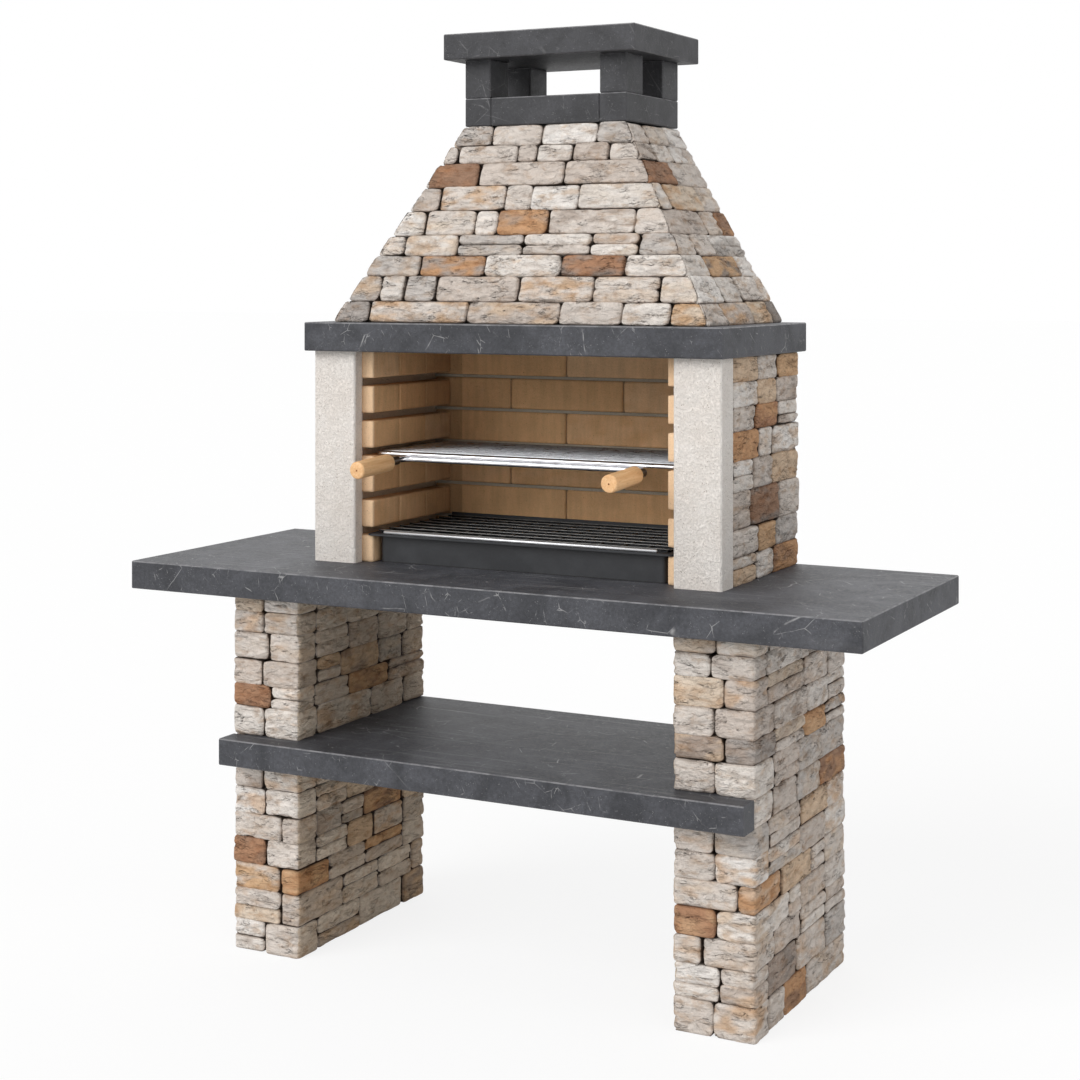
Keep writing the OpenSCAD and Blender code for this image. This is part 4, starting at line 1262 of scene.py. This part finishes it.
@dataclass
class CharcoalGrate:
    """The loose grate: uneven iron wires welded on bars, and a straight rod in front with a painted highlight."""

    iron: Material
    wires: int = 8
    bars: int = 13
    wire_r: float = 0.0019
    bar_r: float = 0.0020
    rod_r: float = 0.0035
    rod_inset: float = 0.0230
    first_inset: float = 0.0115
    last_inset: float = 0.0025
    bar_inset: float = 0.0070
    weld: float = 0.0003
    waver: float = 0.0007
    most_rise: float = 0.0002
    side_waver: float = 2.2
    end_size: float = 0.55
    end_step: float = 0.45
    sides: int = 10
    steps: int = 34
    window: int = 7
    seed: int = 31
    points: list[list[float]] = field(default_factory=list)
    faces: list[list[int]] = field(default_factory=list)

    def tube(self, path: Array, radius: float) -> None:
        """Adds a closed round tube.

        Args:
            path: what it follows, along x or y.
            radius: its radius.
        """
        along = path[-1] - path[0]
        turns = np.linspace(0.0, 2.0 * math.pi, self.sides, endpoint=False)
        ring = np.zeros((self.sides, 3))
        ring[:, 1 if abs(along[0]) > abs(along[1]) else 0] = np.cos(turns)
        ring[:, 2] = np.sin(turns)
        grow = np.concatenate([[self.end_size], np.ones(len(path)), [self.end_size]])[:, None, None]
        step = along / np.linalg.norm(along) * radius * self.end_step
        spine = np.concatenate([[path[0], path[0] + step], path[1:-1], [path[-1] - step, path[-1]]])
        start = len(self.points)
        self.points.extend((spine[:, None, :] + ring[None] * grow * radius).reshape(-1, 3).tolist())
        turn = 1 if (ring[1] - ring[0]) @ np.cross(along, ring[0]) > 0.0 else -1
        level, side = np.indices((len(spine) - 1, self.sides)).reshape(2, -1)
        base = start + level * self.sides
        near, beside = base + side, base + (side + 1) % self.sides
        quads = np.stack([near, beside, beside + self.sides, near + self.sides], axis=1)
        first = np.arange(start, start + self.sides)
        last = first + (len(spine) - 1) * self.sides
        self.faces.extend([*quads[:, ::turn].tolist(), first[::-turn].tolist(), last[::turn].tolist()])

    def wander(self, draw: np.random.Generator) -> Array:
        """Draws a soft random line, one value for each step of a wire."""
        rough = draw.normal(0.0, 1.0, self.steps + self.window - 1)
        return np.convolve(rough, np.ones(self.window) / self.window, "valid")

    def build(self) -> None:
        """Builds the grate in the place of its CAD node."""
        low, high = (np.array(corner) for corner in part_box("charcoal_grate"))
        draw = np.random.default_rng(self.seed)
        bar_z, rod_z = low[2] + self.bar_r, low[2] + self.rod_r
        wire_z = bar_z + self.bar_r + self.wire_r - self.weld
        rod_x, rod_y = high[0] - self.rod_inset, low[1] + self.rod_r
        first, last = rod_y + self.rod_r + self.first_inset, high[1] - self.last_inset
        for y in np.linspace(first, last, self.wires):
            sway = self.wander(draw) * self.side_waver * self.waver
            dip = np.clip(self.wander(draw) * self.waver, -self.most_rise, self.waver)
            x = np.linspace(low[0], high[0], self.steps)
            self.tube(np.stack([x, y + sway, wire_z + dip], axis=1), self.wire_r)
        for x in np.linspace(low[0] + self.bar_inset, high[0] - self.bar_inset, self.bars):
            start = rod_y if abs(x) < rod_x else first
            self.tube(np.linspace([x, start, bar_z], [x, last, bar_z], 3), self.bar_r)
        self.tube(np.linspace([-rod_x, rod_y, rod_z], [rod_x, rod_y, rod_z], 3), self.rod_r)
        smooth = [len(face) == 4 for face in self.faces]
        piece = shaped("charcoal_grate_dressed", self.points, self.faces, smooth, self.iron)
        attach(piece, "charcoal_grate")
        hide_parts("charcoal_grate")


@dataclass
class FireTray:
    """The ash pan and the charcoal grate that lies on it."""

    paint: Material
    soot_and_shade: Material
    iron: Material

    def build(self) -> None:
        """Dresses the pan, and builds the grate."""
        dress(self.paint, "ash_pan")
        dress(self.soot_and_shade, "ash_pan_floor")
        CharcoalGrate(self.iron).build()


@dataclass
class Studio:
    """The floor, the lights, the backdrop and the camera."""

    eye: Place = (2.0439, -3.9287, 1.4943)
    turn: float = 27.4514
    lens: float = 67.08
    shift_y: float = -0.2465
    sky: float = 0.42
    floor_reach: float = 60.0
    floor_share: float = 0.18
    floor_grey: float = 0.78
    floor_dim: float = 0.96
    sensor: float = 36.0
    far: float = 200.0
    lamps: tuple[tuple, ...] = (
        ("key_light", 1.95, (-0.5, -1.0, 0.68), 44.0),
        ("fill_light", 0.6, (1.0, -0.35, 0.55), 70.0),
        ("back_light", 0.5, (-0.3, 1.0, 0.7), 70.0))

    def end(self, bench: NodeBench, kind: str, lit: Node, seen: Node) -> None:
        """Ends a bench with one shader that lights the object, and one that is seen.

        Args:
            bench: where the nodes go.
            kind: its last node.
            lit: what lights the object.
            seen: what is seen and reflected.
        """
        path = bench.add("LightPath").outputs
        rays = bench.math("MAXIMUM", *(path[f"Is {name} Ray"] for name in ("Camera", "Glossy", "Transmission")))
        mix = bench.add("MixShader", {0: rays, 1: lit.outputs[0], 2: seen.outputs[0]})
        bench.add(kind, {"Surface": mix.outputs[0]})

    def floor(self) -> None:
        """Lays the pale floor, which keeps the object's soft shadow."""
        bench = NodeBench("pale_floor")
        own = bench.add("BsdfDiffuse", {"Color": (self.floor_grey,) * 3 + (1.0,)})
        shown = bench.add("BsdfDiffuse", {"Color": (self.floor_share,) * 3 + (1.0,)})
        glow = bench.add("Emission", {"Color": WHITE, "Strength": 1.0 - self.floor_dim * self.floor_share})
        both = bench.add("AddShader", {0: shown.outputs[0], 1: glow.outputs[0]})
        self.end(bench, "OutputMaterial", own, both)
        reach = self.floor_reach
        corners = [(-reach, -reach, 0.0), (reach, -reach, 0.0), (reach, reach, 0.0), (-reach, reach, 0.0)]
        piece = shaped("floor", corners, [(0, 1, 2, 3)], [False], bench.owner)

    def backdrop(self) -> None:
        """Makes the sky: soft light on the object, and white behind it."""
        bench = NodeBench("studio", "worlds")
        light, white = (bench.add("Background", {"Color": WHITE, "Strength": strength})
                        for strength in (self.sky, 1.0))
        self.end(bench, "OutputWorld", light, white)
        bpy.context.scene.world = bench.owner

    def lamp(self, name: str, strength: float, toward: Place, width: float) -> None:
        """Hangs a wide far lamp.

        Args:
            name: its name.
            strength: its light on a face that looks at it.
            toward: where it lies.
            width: how wide it looks, in degrees.
        """
        data = bpy.data.lights.new(name, "SUN")
        data.energy, data.angle = strength, math.radians(width)
        x, y, z = toward
        turn = (math.atan2(math.hypot(x, y), z), 0.0, math.atan2(y, x) + math.pi / 2.0)
        placed(name, data).rotation_euler = turn

    def camera(self) -> None:
        """Sets the camera up where the photograph was taken from."""
        data = bpy.data.cameras.new("camera")
        data.sensor_width, data.lens, data.shift_y, data.clip_end = self.sensor, self.lens, self.shift_y, self.far
        piece = placed("camera", data)
        piece.location = self.eye
        piece.rotation_euler = (math.pi / 2.0, 0.0, math.radians(self.turn))
        bpy.context.scene.camera = piece

    def build(self) -> None:
        """Sets the whole studio up."""
        self.camera()
        self.floor()
        self.backdrop()
        for lamp in self.lamps:
            self.lamp(*lamp)
        bpy.context.scene.view_settings.view_transform = "Standard"


def main() -> None:
    """Builds the barbecue group by group and sets the studio up."""
    logging.basicConfig(level=logging.INFO, format="%(message)s")
    stone = StoneFinish().material()
    slate = SlateFinish().material()
    chimney = SlateFinish("chimney_slab", (48, 48, 50), (68, 68, 71), veins=0.35).material()
    column = CastFinish("column_stone", (240, 232, 224), (172, 158, 146), (252, 248, 243), 0.0016, 0.85).material()
    cast = CastFinish().material()
    lining = CastFinish("cast_lining", inside=(206, 186, 162),
                        inside_y=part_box("side_panel_left")[1][1] - LINING_EDGE).material()
    mortar = CastFinish("fire_mortar", (178, 168, 152), (130, 118, 100), (200, 192, 178), 0.0006).material()
    brick = FirebrickFinish().material()
    # the grill's front and back rods get a painted highlight
    wire = WireFinish("bright_wire", (166, 167, 170), (146, 147, 150), 0.24, 0.34, 1.0,
                      (226, 226, 228), GRILL_FRONT_ROD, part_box("grill_grid")[1][1] - GRILL_BACK_INSET).material()
    chrome = WireFinish("bright_bar", (214, 214, 217), (184, 184, 187), 0.14, 0.24).material()
    collar = WireFinish("dull_steel", (120, 112, 105), (84, 76, 70), 0.24, 0.36).material()
    # the grate's front rod and wire tops get a painted highlight
    iron = WireFinish("grate_wire", (36, 36, 38), (24, 24, 26), 0.30, 0.42, 0.6,
                      (224, 225, 228), GRATE_FRONT_ROD, wear_and_highlight=0.5).material()
    Studio().build()
    Piers(stone).build()
    Firebox(stone, brick, column, cast, lining, mortar).build()
    Hood(stone, cast).build()
    Slabs(slate, chimney).build()
    CookingGrill(wire, chrome, collar, BeechFinish().material()).build()
    soot_and_shade = PanFinish("sooty_floor", (20, 20, 21), (40, 39, 38)).material()
    FireTray(PanFinish().material(), soot_and_shade, iron).build()
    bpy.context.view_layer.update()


if __name__ == "__main__":
    main()
